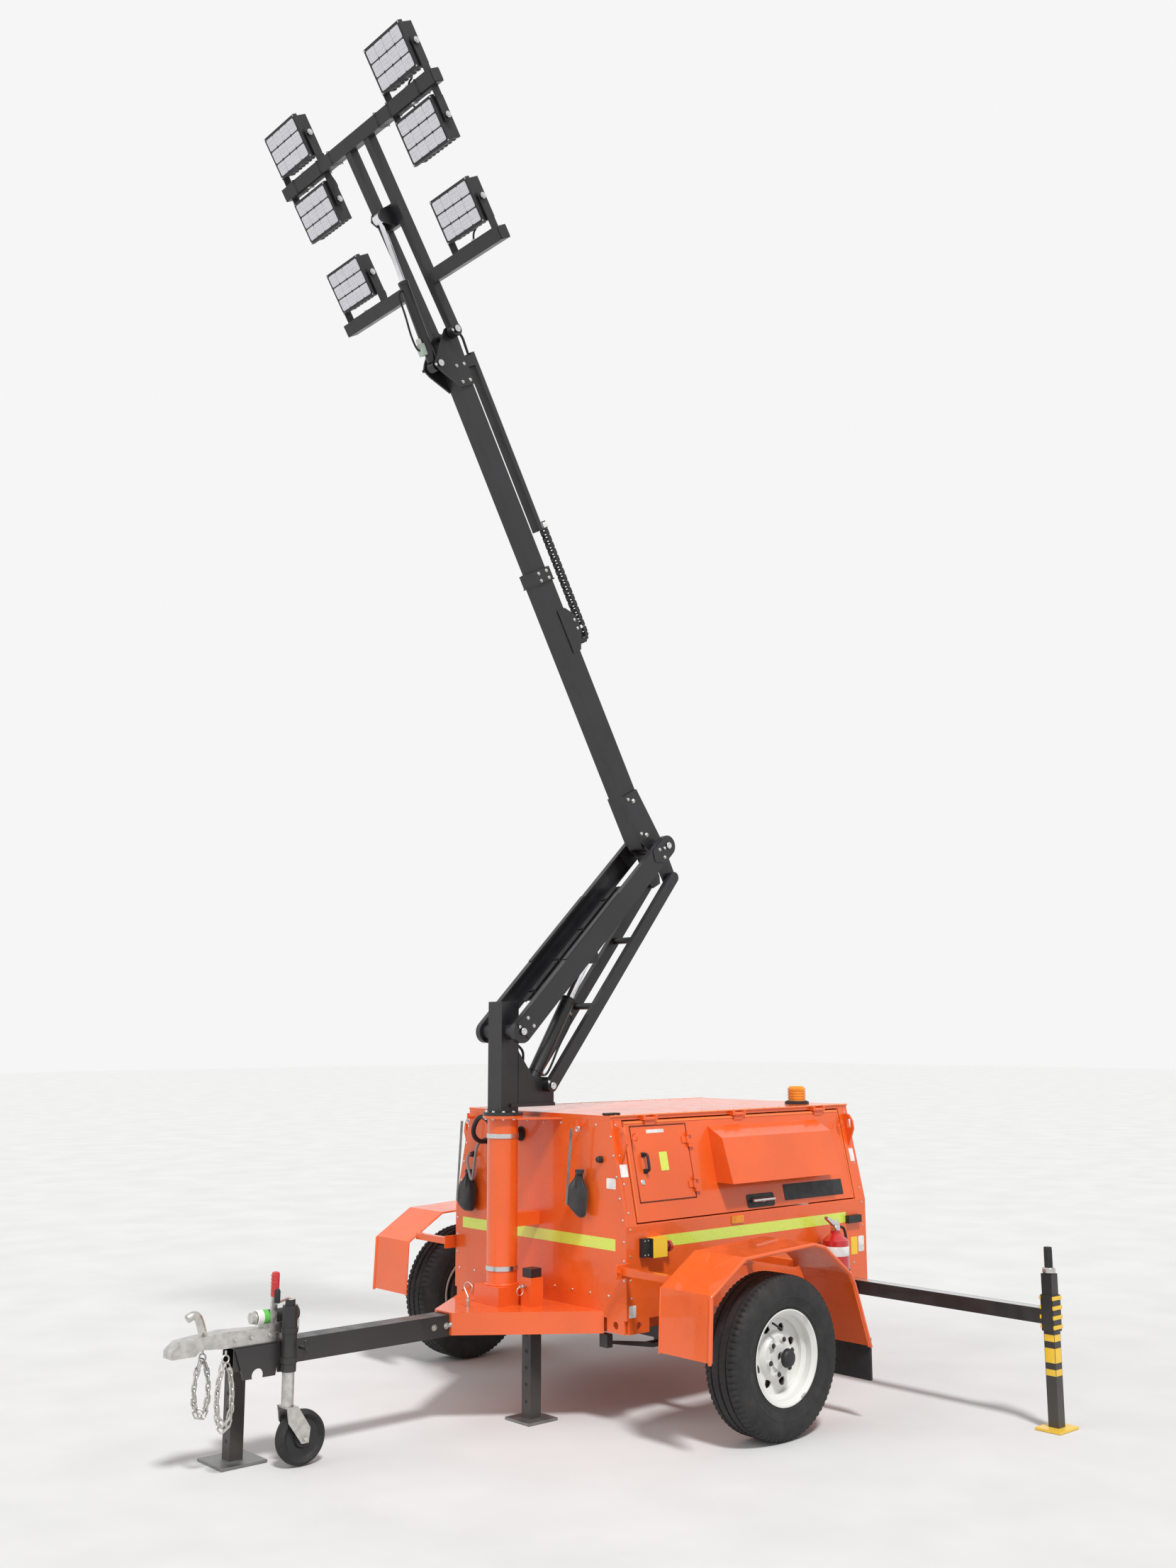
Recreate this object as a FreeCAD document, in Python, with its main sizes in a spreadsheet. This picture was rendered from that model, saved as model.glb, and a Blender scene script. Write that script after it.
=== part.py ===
"""Mobile light tower: a towed trailer with a canopy, a folding telescopic boom and six flood lamps.

Millimetres. +X points to the coupling, +Y to the trailer's left side and +Z up. The ground is z = 0 and
the origin is the middle of the footprint box, so the axle lies behind it.
"""
import FreeCAD, Part
import math
import os

import Sketcher
from FreeCAD import Placement, Rotation, Vector

# Driving sizes. A place along the trailer is measured forward from the axle.
SIZES = {
    # wheels and axle
    "tyre_radius": 333, "tyre_width": 198, "bulge_radius": 268, "bead_gap": 0.3, "tread_half": 76,
    "rim_lip_radius": 195, "rim_half_width": 84, "rim_seat_radius": 178, "rim_well_radius": 160,
    "rim_wall": 6, "rim_flange": 14, "wheel_track_half": 1074, "disc_offset": 12, "disc_crown": 30,
    "disc_step": 24, "hub_radius": 52, "hub_reach": 46,
    "window_circle": 118, "window_width": 38, "window_depth": 34, "stud_circle": 70, "nut_across": 19,
    "nut_height": 18,
    "axle_square": 50, "spindle_radius": 19, "spring_y": 450, "spring_half_length": 380,
    # chassis, drawbar and coupling
    "rail_width": 50, "rail_depth": 75, "rail_bottom": 379, "rail_front": 350, "rail_rear": -1070,
    "nose_front": 930, "nose_half": 62, "frame_root_half": 470, "frame_depth": 93,
    "frame_bottom": 386, "frame_bar": 56, "deck_plate": 6,
    "drawbar_square": 90, "drawbar_front": 1960, "drawbar_rear": 905,
    "nose_reach": 2215, "ball_radius": 25, "ball_place": 2160, "coupling_half": 36, "coupling_height": 62,
    "lever_place": 1790, "lever_top": 735,
    # body
    "body_front": 410, "body_rear": -1243, "body_half": 615, "roof_half": 513, "sill_bottom": 454,
    "sill_top": 529, "knee_height": 844, "roof_height": 1310, "panel": 20, "door_thick": 30,
    "hinge_pin": 4, "hinge_knuckle": 9, "hinge_width": 60, "hatch_pin": 3, "hatch_knuckle": 7,
    "door_front": 340, "door_rear": -1160, "door_bottom": 856, "door_top": 1284, "door_gap": 6, "ledge": 90,
    "hood_front": -195, "hood_rear": -980, "hood_reach": 105, "hood_bottom": 990, "hood_top": 1243,
    "hood_wall": 3,
    "hatch_front": 305, "hatch_rear": -50, "hatch_bottom": 935, "hatch_top": 1262, "hatch_thick": 8,
    "tail_lamp": 30, "tail_lamp_y": 500, "tail_lamp_half": 70, "tail_lamp_low": 600, "tail_lamp_tall": 90,
    "vent_low": 60, "vent_pitch": 34, "vent_tall": 14, "vent_half": 260,
    "eye_plate_low": 1100, "eye_plate_high": 1262, "eye_low": 1195, "eye_high": 1238, "eye_reach": 62,
    "eye_thick": 10, "eye_inset": 40, "tie_hole": 17, "tie_drop": 26, "tie_plate": 12, "tie_half": 55,
    "front_tie_y": 545, "side_tie_inset": 75,
    "engine_front": 180, "engine_rear": -980, "engine_half": 330, "engine_rise": 435,
    # what is fixed to the body
    "beacon_place": -1060, "beacon_y": 338, "beacon_radius": 46, "beacon_rib": 14,
    "bottle_place": -900, "bottle_stand_off": 84, "bottle_low": 380, "bottle_high": 728, "bottle_radius": 63,
    "stop_place": 292, "stop_height": 751, "marker_place": -1082, "marker_length": 100, "marker_height": 756,
    "near_bag_y": 330, "near_bag_top": 1072, "far_bag_y": -486, "far_bag_top": 1020, "bag_length": 205,
    "bag_width": 128, "bag_depth": 66, "hook_height": 1270,
    # mudguards
    "guard_inner": 905, "guard_outer": 1190, "guard_sheet": 6, "guard_lip": 16, "flap_low": 172,
    "flap_top": 345, "stay_square": 30,
    # mast post
    "post_place": 607, "post_radius": 70, "post_foot": 479, "post_top": 1289, "post_flange": 12,
    "post_flange_radius": 92,
    # turret
    "slew_gap": 0.5, "slew_plate": 15, "column_side": 100, "column_rise": 528,
    "arm_pin_rise": 391, "link_pin_back": 215, "link_pin_rise": 142,
    "lift_pin_back": 160, "lift_pin_rise": 151, "pin_radius": 15, "pin_head": 4, "fit": 0.08,
    "shelf_reach": 262, "cheek_inner": 40, "cheek_thick": 12, "side_gap": 2.5, "valve_height": 96,
    # lower boom
    "arm_length": 1327, "arm_lean": -45.3, "arm_depth": 105, "arm_thick": 30, "arm_inner": 113,
    "arm_wall": 6, "arm_boss": 90, "arm_doubler": 4, "doubler_reach": 128, "arm_web": 8, "web_start": 260,
    "web_end": 240, "lift_lug_along": 618, "lift_lug_drop": 113, "lug_inner": 40, "lug_thick": 14,
    # tension link
    "link_inner": 70, "link_thick": 30, "link_depth": 56,
    # lift cylinder
    "lift_barrel_radius": 34, "lift_barrel_length": 448, "lift_rod_radius": 20, "lift_overlap": 190,
    "lift_eye_width": 62,
    # upper boom and fly
    "boom_lean": 29, "boom_side": 100, "boom_wall": 5, "boom_offset": 35, "boom_start": 30,
    "boom_length": 1534, "tail_thick": 12, "tail_back": 177, "tail_drop": 4,
    "fly_side": 84, "fly_wall": 5, "fly_inner_end": 1230, "fly_outer_end": 2625,
    "head_pin_along": 2738, "head_pin_front": 13, "tilt_pin_along": 2612, "tilt_pin_front": 150,
    "head_plate": 10,
    "tray_back": 72, "tray_depth": 26, "tray_width": 56, "tray_low": 1706, "tray_high": 2628,
    "chain_width": 44, "chain_thick": 24, "chain_gap": 14, "chain_stand_off": 45, "chain_low": 1150,
    "chain_pitch": 34, "chain_notch": 5, "stay_low": 1175, "stay_tall": 75, "stay_plate": 5,
    # light frame and lamps
    "frame_lean": 32.4, "upright_y": 77, "upright_width": 40, "upright_depth": 50,
    "top_bar_height": 970, "low_bar_height": 260, "bar_square": 60, "bar_half": 630,
    "tilt_eye_height": 600, "tilt_eye_front": 78, "tilt_barrel_radius": 25, "tilt_barrel_length": 405,
    "tilt_rod_radius": 13, "tilt_overlap": 105, "tilt_eye_width": 46,
    "lamp_y": 445, "lamp_width": 275, "lamp_height": 205, "lamp_depth": 80, "lens_front": 36,
    "lamp_upper": 1137, "lamp_middle": 806, "lamp_lower": 438, "yoke_sheet": 5, "yoke_width": 42,
    "yoke_gap": 8, "lamp_rim": 22, "fin_count": 9, "fin_depth": 34, "pivot_head": 8, "pivot_across": 19,
    # stands
    "jockey_place": 1740, "jockey_y": 92, "jockey_tube": 30, "jockey_inner": 24, "jockey_top": 610,
    "jockey_tube_low": 360, "jockey_wheel_radius": 105, "jockey_wheel_width": 56, "jockey_trail": 62,
    "stand_place": 1850, "stand_y": -140, "stand_square": 60, "stand_top": 470, "foot_plate": 10,
    "leg_place": 560, "leg_y": 158, "leg_square": 60, "leg_top": 640, "leg_sleeve_top": 602,
    "sleeve_wall": 5, "sleeve_gap": 0.3,
    "rig_left": -1010, "rig_right": -1090, "rig_square": 62, "rig_height": 462, "rig_reach": 1785,
    "rig_overlap": 210, "rig_sleeve_half": 600, "rig_leg_square": 50, "rig_leg_top": 640,
    "rig_leg_sleeve": 150,
}

# The places of the side doors' hinges, forward from the axle, and the heights of the control hatch's.
HINGES = (-1000, -410, 180)
HATCH_HINGES = (975, 1170)

doc = FreeCAD.newDocument("LightTower")
sheet = doc.addObject("Spreadsheet::Sheet", "Sizes")
for row, (alias, number) in enumerate(SIZES.items(), start=1):
    sheet.set("A%d" % row, alias)
    sheet.set("B%d" % row, str(number))
    sheet.setAlias("B%d" % row, alias)
doc.recompute()


class Size(float):
    """A number that keeps the sheet expression which it comes from."""

    def __new__(cls, number, text=None):
        self = super().__new__(cls, number)
        self.text = text or "%.6f" % number
        return self

    def __add__(self, other):
        return Size(float(self) + float(other), "(%s + %s)" % (self.text, text_of(other)))

    def __radd__(self, other):
        return Size(float(other) + float(self), "(%s + %s)" % (text_of(other), self.text))

    def __sub__(self, other):
        return Size(float(self) - float(other), "(%s - %s)" % (self.text, text_of(other)))

    def __rsub__(self, other):
        return Size(float(other) - float(self), "(%s - %s)" % (text_of(other), self.text))

    def __mul__(self, other):
        return Size(float(self) * float(other), "(%s * %s)" % (self.text, text_of(other)))

    __rmul__ = __mul__

    def __truediv__(self, other):
        return Size(float(self) / float(other), "(%s / %s)" % (self.text, text_of(other)))

    def __neg__(self):
        return Size(-float(self), "(0 - %s)" % self.text)


def text_of(number):
    return number.text if isinstance(number, Size) else "%.6f" % number


def sine(angle):
    return Size(math.sin(math.radians(angle)), "sin(%s)" % angle.text)


def cosine(angle):
    return Size(math.cos(math.radians(angle)), "cos(%s)" % angle.text)


class Named:
    """The driving sizes by name, each with its sheet expression."""

    def __getattr__(self, name):
        return Size(SIZES[name], "Sizes." + name)


S = Named()
TAIL = S.body_rear - S.tail_lamp
AXLE = -(S.nose_reach + TAIL) / 2


def along(place):
    """The model's x of a place measured forward from the axle."""
    return AXLE + place


def bind(thing, name, number):
    if isinstance(number, Size):
        thing.setExpression(name, number.text)
    else:
        setattr(thing, name, number)


def put(thing, base, rotation=None):
    """Sets a piece's place, each coordinate bound to its own expression."""
    thing.Placement = Placement(Vector(*[float(v) for v in base]), rotation or Rotation())
    for letter, number in zip("xyz", base):
        if isinstance(number, Size):
            thing.setExpression("Placement.Base." + letter, number.text)
    return thing


def box(x0, x1, y0, y1, z0, z1):
    thing = doc.addObject("Part::Box", "Block")
    bind(thing, "Length", x1 - x0)
    bind(thing, "Width", y1 - y0)
    bind(thing, "Height", z1 - z0)
    return put(thing, (x0, y0, z0))


TURNS = {
    "x": Rotation(Vector(0, 1, 0), 90),
    "y": Rotation(Vector(1, 0, 0), -90),
    "z": Rotation(),
}


def rod(axis, start, length, radius):
    """A round bar from start, along +X, +Y or +Z."""
    thing = doc.addObject("Part::Cylinder", "Rod")
    bind(thing, "Radius", radius)
    bind(thing, "Height", length)
    return put(thing, start, TURNS[axis])


def sketch_on(body, plane, outlines):
    """A sketch of closed outlines; each corner is dimensioned from the origin."""
    sketch = body.newObject("Sketcher::SketchObject", "Outline")
    origin = [f for f in body.Origin.OriginFeatures if f.Role == plane + "_Plane"][0]
    sketch.AttachmentSupport = [(origin, "")]
    sketch.MapMode = "FlatFace"
    for corners in outlines:
        first = sketch.GeometryCount
        count = len(corners)
        for n, (u, v) in enumerate(corners):
            w = corners[(n + 1) % count]
            sketch.addGeometry(Part.LineSegment(Vector(u, v, 0), Vector(w[0], w[1], 0)), False)
        for n in range(count):
            link = Sketcher.Constraint("Coincident", first + n, 2, first + (n + 1) % count, 1)
            sketch.addConstraint(link)
        for n, corner in enumerate(corners):
            for kind, number in zip(("DistanceX", "DistanceY"), corner):
                bound = Sketcher.Constraint(kind, -1, 1, first + n, 1, float(number))
                index = sketch.addConstraint(bound)
                if isinstance(number, Size):
                    sketch.setExpression("Constraints[%d]" % index, number.text)
    return sketch


def prism(plane, outline, start, thickness, holes=()):
    """A plate of one outline, padded from start to start + thickness across its plane."""
    body = doc.addObject("PartDesign::Body", "Plate")
    sketch = sketch_on(body, plane, [outline] + list(holes))
    pad = body.newObject("PartDesign::Pad", "Pad")
    pad.Profile = sketch
    bind(pad, "Length", thickness)
    if plane == "XZ":
        return put(body, (0, start + thickness, 0))
    return put(body, (start, 0, 0) if plane == "YZ" else (0, 0, start))


def ring(outline, axis, centre):
    """A turned piece. The outline gives (radius, place along the axis)."""
    body = doc.addObject("PartDesign::Body", "Turned")
    sketch = sketch_on(body, "XZ" if axis == "z" else "XY", [outline])
    turned = body.newObject("PartDesign::Revolution", "Revolution")
    turned.Profile = sketch
    turned.ReferenceAxis = (sketch, ["V_Axis"])
    turned.Angle = 360
    return put(body, centre)


def fuse(*pieces):
    thing = doc.addObject("Part::MultiFuse", "Fuse")
    thing.Shapes = flat(pieces)
    thing.Refine = True
    return thing


def flat(pieces):
    out = []
    for piece in pieces:
        out += flat(piece) if isinstance(piece, (list, tuple)) else [piece]
    return out


def cut(base, *tools):
    thing = doc.addObject("Part::Cut", "Cut")
    tools = flat(tools)
    thing.Base = base
    thing.Tool = tools[0] if len(tools) == 1 else fuse(tools)
    thing.Refine = True
    return thing


NODES = []


def node(label, *pieces, at=None, lean=0.0):
    """Finishes a sub-part. With at, its pieces stand in a frame at that place, leaning forward."""
    pieces = flat(pieces)
    thing = pieces[0] if len(pieces) == 1 else fuse(pieces)
    if at is not None:
        put(thing, at, Rotation(Vector(0, 1, 0), float(lean)))
    thing.Label = label
    NODES.append(thing)
    return thing


def square_tube(axis, centre, start, length, side, wall):
    """A square hollow section along one axis; centre gives its two other coordinates."""
    half = side / 2
    inner = half - wall
    a, b = centre
    spans = [(a - half, a + half, b - half, b + half), (a - inner, a + inner, b - inner, b + inner)]
    parts = []
    for n, (a0, a1, b0, b1) in enumerate(spans):
        s0, s1 = (start, start + length) if n == 0 else (start - 1, start + length + 1)
        if axis == "x":
            parts.append(box(s0, s1, a0, a1, b0, b1))
        elif axis == "y":
            parts.append(box(a0, a1, s0, s1, b0, b1))
        else:
            parts.append(box(a0, a1, b0, b1, s0, s1))
    return cut(parts[0], parts[1])


def sloped(side, height):
    """The y of the body's side skin at a height above the knee."""
    share = (height - S.knee_height) / (S.roof_height - S.knee_height)
    return side * (S.body_half - (S.body_half - S.roof_half) * share)


def mirrored(outline):
    """The other half of a turned outline, back along the axis."""
    return [(r, -t) for r, t in reversed(outline)]


def turned_copy(outline, plane, start, thickness, centre, angle):
    """A plate of one outline, turned about the wheel's own axis."""
    plate = prism(plane, outline, start, thickness)
    place = (centre[0], centre[1] + start + thickness, centre[2])
    return put(plate, place, Rotation(Vector(0, 1, 0), angle))


def wheels():
    seat, edge, well = S.rim_seat_radius, S.rim_half_width, S.rim_well_radius
    face, hub = S.disc_offset, S.hub_radius
    for name, side in (("left", 1), ("right", -1)):
        mid = side * S.wheel_track_half
        centre = (along(0), mid, S.tyre_radius)
        tyre = [(seat + S.bead_gap, edge - S.rim_flange - 1), (S.bulge_radius, S.tyre_width / 2),
                (S.tyre_radius, S.tread_half)]
        node(name + "_tyre", ring(tyre + mirrored(tyre), "y", centre))
        barrel = [(S.rim_lip_radius, edge), (seat, edge - S.rim_flange), (seat, edge - S.rim_flange - 30),
                  (well, edge - S.rim_flange - 42)]
        barrel = barrel + mirrored(barrel)
        shell = ring(barrel + [(r - S.rim_wall, t) for r, t in reversed(barrel)], "y", centre)
        crown, dish = hub + S.disc_crown, S.disc_step
        disc = [
            (S.spindle_radius + 3, face + dish), (crown, face + dish), (crown + 18, face), (well - 3, face),
            (well - 3, face - S.rim_wall), (crown + 15, face - S.rim_wall),
            (crown - 3, face + dish - S.rim_wall),
            (S.spindle_radius + 3, face + dish - S.rim_wall),
        ]
        disc = ring([(r, side * t) for r, t in disc], "y", centre)
        half = S.window_width / 2
        low, high = S.window_circle - S.window_depth / 2, S.window_circle + S.window_depth / 2
        window = [(-half, low + 4), (0, low), (half, low + 4), (half - 2, high - 11), (5, high), (-5, high),
                  (2 - half, high - 11)]
        windows = [turned_copy(window, "XZ", -60, 120, centre, 22.5 + 45 * n) for n in range(8)]
        hub_start = mid + side * (face - 10)
        hub_piece = rod("y", (along(0), min(hub_start, hub_start + side * S.hub_reach), S.tyre_radius),
                        S.hub_reach, hub)
        across = S.nut_across / 2
        nuts = []
        for n in range(6):
            nut = [(S.stud_circle + across * 1.1547 * math.cos(math.radians(60 * k)),
                    across * 1.1547 * math.sin(math.radians(60 * k))) for k in range(6)]
            start = face + dish - 2 if side > 0 else -(face + dish - 2 + S.nut_height)
            nuts.append(turned_copy(nut, "XZ", start, S.nut_height, centre, 60 * n + 15))
        bore = rod("y", (along(0), mid - 100, S.tyre_radius), 200, S.spindle_radius + S.fit)
        node(name + "_rim", cut(fuse(shell, cut(disc, windows), hub_piece, nuts), bore))


def axle():
    beam_half = S.wheel_track_half - 60
    low = S.tyre_radius - S.axle_square / 2
    pieces = [box(along(0) - S.axle_square / 2, along(0) + S.axle_square / 2, -beam_half, beam_half,
                  low, low + S.axle_square)]
    for side in (1, -1):
        start = side * beam_half
        reach = side * (S.wheel_track_half + 30)
        pieces.append(rod("y", (along(0), min(start, reach), S.tyre_radius), abs_size(reach - start, side),
                          S.spindle_radius))
    springs = pieces
    rail_low = S.rail_bottom
    for side in (1, -1):
        y0 = side * S.spring_y - 25
        top = low
        leaf = [
            (along(0) - S.spring_half_length, rail_low - 40), (along(0) - 120, top - 18),
            (along(0) + 120, top - 18), (along(0) + S.spring_half_length, rail_low - 40),
            (along(0) + S.spring_half_length, rail_low - 32), (along(0) + 120, top),
            (along(0) - 120, top), (along(0) - S.spring_half_length, rail_low - 32),
        ]
        springs.append(prism("XZ", leaf, y0, 50))
        for end in (1, -1):
            x = along(0) + end * S.spring_half_length
            springs.append(box(x - 16, x + 16, y0, y0 + 50, rail_low - 56, rail_low))
        springs.append(box(along(0) - 60, along(0) + 60, y0 - 6, y0 + 56, top - 26, low + 62))
    node("axle_suspension", fuse(springs))


def abs_size(number, side):
    return number if side > 0 else -number


def chassis():
    low, top = S.rail_bottom, S.rail_bottom + S.rail_depth
    half = S.body_half - 90
    rails = []
    for side in (1, -1):
        y = side * S.spring_y
        rails.append(box(along(S.rail_rear), along(S.rail_front), y - S.rail_width / 2,
                         y + S.rail_width / 2, low, top))
    for x in (S.rail_front - 50, S.rail_front - 600, S.rail_rear):
        rails.append(box(along(x), along(x) + 50, -half, half, low, top))
    frame_top = S.frame_bottom + S.frame_depth
    nose, root = along(S.nose_front), along(S.body_front) + 0.3
    outline = [(root, -S.frame_root_half), (nose, -S.nose_half), (nose, S.nose_half),
               (root, S.frame_root_half)]
    inner = [
        (root - 1, S.frame_bar * 1.3 - S.frame_root_half), (nose - S.frame_bar, -S.nose_half / 3),
        (nose - S.frame_bar, S.nose_half / 3), (root - 1, S.frame_root_half - S.frame_bar * 1.3),
    ]
    yoke = cut(prism("XY", outline, S.frame_bottom, S.frame_depth),
               prism("XY", inner, S.frame_bottom - 1, S.frame_depth - S.deck_plate + 1))
    tail_bars = []
    for side in (1, -1):
        y = side * (S.frame_root_half - 60)
        tail_bars.append(box(along(S.rail_front) - 1, root + 30, y - 30, y + 30, S.frame_bottom, top))
    hole = box(along(S.leg_place) - S.leg_square / 2 - S.sleeve_gap,
               along(S.leg_place) + S.leg_square / 2 + S.sleeve_gap,
               S.leg_y - S.leg_square / 2 - S.sleeve_gap, S.leg_y + S.leg_square / 2 + S.sleeve_gap,
               S.frame_bottom - 5, frame_top + 5)
    sleeve = square_tube("z", (along(S.leg_place), S.leg_y), frame_top, S.leg_sleeve_top - frame_top,
                         S.leg_square + 2 * (S.sleeve_gap + S.sleeve_wall), S.sleeve_wall)
    bar_slot = box(along(S.drawbar_rear) - 0.3, nose + 5, -S.drawbar_square / 2, S.drawbar_square / 2,
                   S.frame_bottom - 5, S.frame_bottom + 92 - 6)
    rig, bores = [], []
    sleeve_side = S.rig_square + 2 * (S.sleeve_gap + S.sleeve_wall)
    for x in (S.rig_left, S.rig_right):
        rig.append(box(along(x) - sleeve_side / 2, along(x) + sleeve_side / 2, -S.rig_sleeve_half,
                       S.rig_sleeve_half, S.rig_height - sleeve_side / 2, S.rig_height + sleeve_side / 2))
        gap = S.rig_square / 2 + S.sleeve_gap
        bores.append(box(along(x) - gap, along(x) + gap, -half - 200, half + 200,
                         S.rig_height - gap, S.rig_height + gap))
    rig_low = S.rig_height - sleeve_side / 2
    rig.append(box(along(S.rig_right), along(S.rail_rear) + 60, -half, half, rig_low, S.sill_top - 5.3))
    x0, x1, edge = along(S.body_rear), along(S.body_front), S.body_half
    tray = cut(box(x0, x1, -edge, edge, S.sill_bottom, S.sill_top - 0.3),
               box(x0 + 4, x1 - 4, 4 - edge, edge - 4, S.sill_bottom - 5, S.sill_top - 5.3))
    bearers = []
    for x in (S.rail_front - 50, S.rail_front - 600, S.body_rear + 60):
        bearers.append(box(along(x), along(x) + 50, 2 - edge, edge - 2, S.sill_bottom, S.sill_top - 4))
    lugs = []
    for side in (1, -1):
        y, low_eye, wide = side * S.front_tie_y, S.sill_bottom - S.tie_drop, S.tie_half
        lug_low = low_eye - S.tie_hole - 15
        front = box(x1 - S.tie_plate, x1, y - wide, y + wide, lug_low, S.sill_bottom + 1)
        lugs.append(cut(front, rod("x", (x1 - S.tie_plate - 5, y, low_eye), S.tie_plate + 10, S.tie_hole)))
        for x in (S.body_front - S.side_tie_inset, S.body_rear + S.side_tie_inset):
            y0 = side * (edge - S.tie_plate / 2) - S.tie_plate / 2
            plate = box(along(x) - wide - 5, along(x) + wide + 5, y0, y0 + S.tie_plate, lug_low,
                        S.sill_bottom + 1)
            eye = rod("y", (along(x), y0 - 5, low_eye), S.tie_plate + 10, S.tie_hole)
            lugs.append(cut(plate, eye))
    node("chassis_frame", cut(fuse(rails, yoke, tail_bars, sleeve, rig), hole, bar_slot, bores))
    node("floor_tray", cut(fuse(tray, bearers, lugs), bores))


def drawbar():
    half = S.drawbar_square / 2
    low = S.frame_bottom
    tube = square_tube("x", (0, low + half - 6), along(S.drawbar_rear), S.drawbar_front - S.drawbar_rear,
                       S.drawbar_square, 5)
    side = [
        (along(S.stand_place) - 90, low + 80), (along(S.stand_place) - 70, low - 40),
        (along(S.stand_place) + 70, low - 40), (along(S.stand_place) + 110, low + 80),
    ]
    plate = prism("XZ", side, half, 8)
    plate = cut(plate, rod("y", (along(S.stand_place) + 8, half - 5, low - 30), 20, 26))
    outer = S.stand_square / 2 + S.sleeve_gap + S.sleeve_wall
    clamp = square_tube("z", (along(S.stand_place), S.stand_y), low - 20, 104, outer * 2, S.sleeve_wall)
    web = box(along(S.stand_place) - 30, along(S.stand_place) + 30, S.stand_y + outer - 1, 1 - half,
              low - 20, low + 80)
    jockey_plate = box(along(S.jockey_place) - 50, along(S.jockey_place) + 30, half - 1, half + 9,
                       low - 30, low + 82)
    jx, jy, jz = along(S.jockey_place), half + 8 + S.jockey_tube, S.jockey_tube_low
    outer = rod("z", (jx, jy, jz), S.jockey_top - jz, S.jockey_tube)
    bore = rod("z", (jx, jy, jz - 5), S.jockey_top - jz - 10, S.jockey_inner + S.fit)
    crank_head = rod("z", (jx, jy, S.jockey_top - 1), 23, 20)
    solid = cut(fuse(tube, plate, clamp, web, jockey_plate, outer), bore)
    node("drawbar", fuse(solid, crank_head))


def coupling():
    low = S.frame_bottom + S.drawbar_square - 6 + 0.3
    nose = along(S.nose_reach)
    half = S.coupling_half
    profile = [
        (along(S.drawbar_front) - 190, low), (along(S.drawbar_front) + 40, low),
        (along(S.ball_place) - 70, low + 8), (along(S.ball_place) - 42, low - 12), (nose, low - 12),
        (nose, low + 16), (along(S.ball_place) + 20, low + 46), (along(S.ball_place) - 40, low + 52),
        (along(S.drawbar_front) + 30, low + S.coupling_height), (along(S.drawbar_front) - 190, low + 50),
    ]
    body = prism("XZ", profile, -half, 2 * half)
    ball = doc.addObject("Part::Sphere", "Ball")
    bind(ball, "Radius", S.ball_radius + 0.5)
    put(ball, (along(S.ball_place), 0, low - 2))
    throat = rod("z", (along(S.ball_place), 0, low - 40), 38, S.ball_radius + 0.5)
    socket = cut(body, ball, throat)
    loop = [
        (along(S.ball_place) - 110, low + 40), (along(S.ball_place) - 96, low + 40),
        (along(S.ball_place) - 70, low + 118), (along(S.ball_place) - 50, low + 132),
        (along(S.ball_place) - 20, low + 120), (along(S.ball_place) - 14, low + 128),
        (along(S.ball_place) - 48, low + 144), (along(S.ball_place) - 80, low + 124),
    ]
    handle = prism("XZ", loop, -12, 24)
    start = along(S.drawbar_front) - 260
    top = low + S.coupling_height
    cylinder = rod("x", (start - 40, 0, low + 92), 190, 26)
    foot = box(start - 30, start + 120, -22, 22, low, low + 70)
    cap = rod("x", (start + 149, 0, low + 92), 20, 22)
    lever = prism("XZ", [
        (along(S.lever_place) - 18, low + 60), (along(S.lever_place) + 10, low + 60),
        (along(S.lever_place) + 2, S.lever_top), (along(S.lever_place) - 20, S.lever_top),
    ], 26, 12)
    link = box(start - 30, along(S.lever_place) + 12, 20, 39, low + 30, low + 72)
    node("coupling", fuse(socket, handle, cylinder, foot, cap, lever, link))


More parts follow.
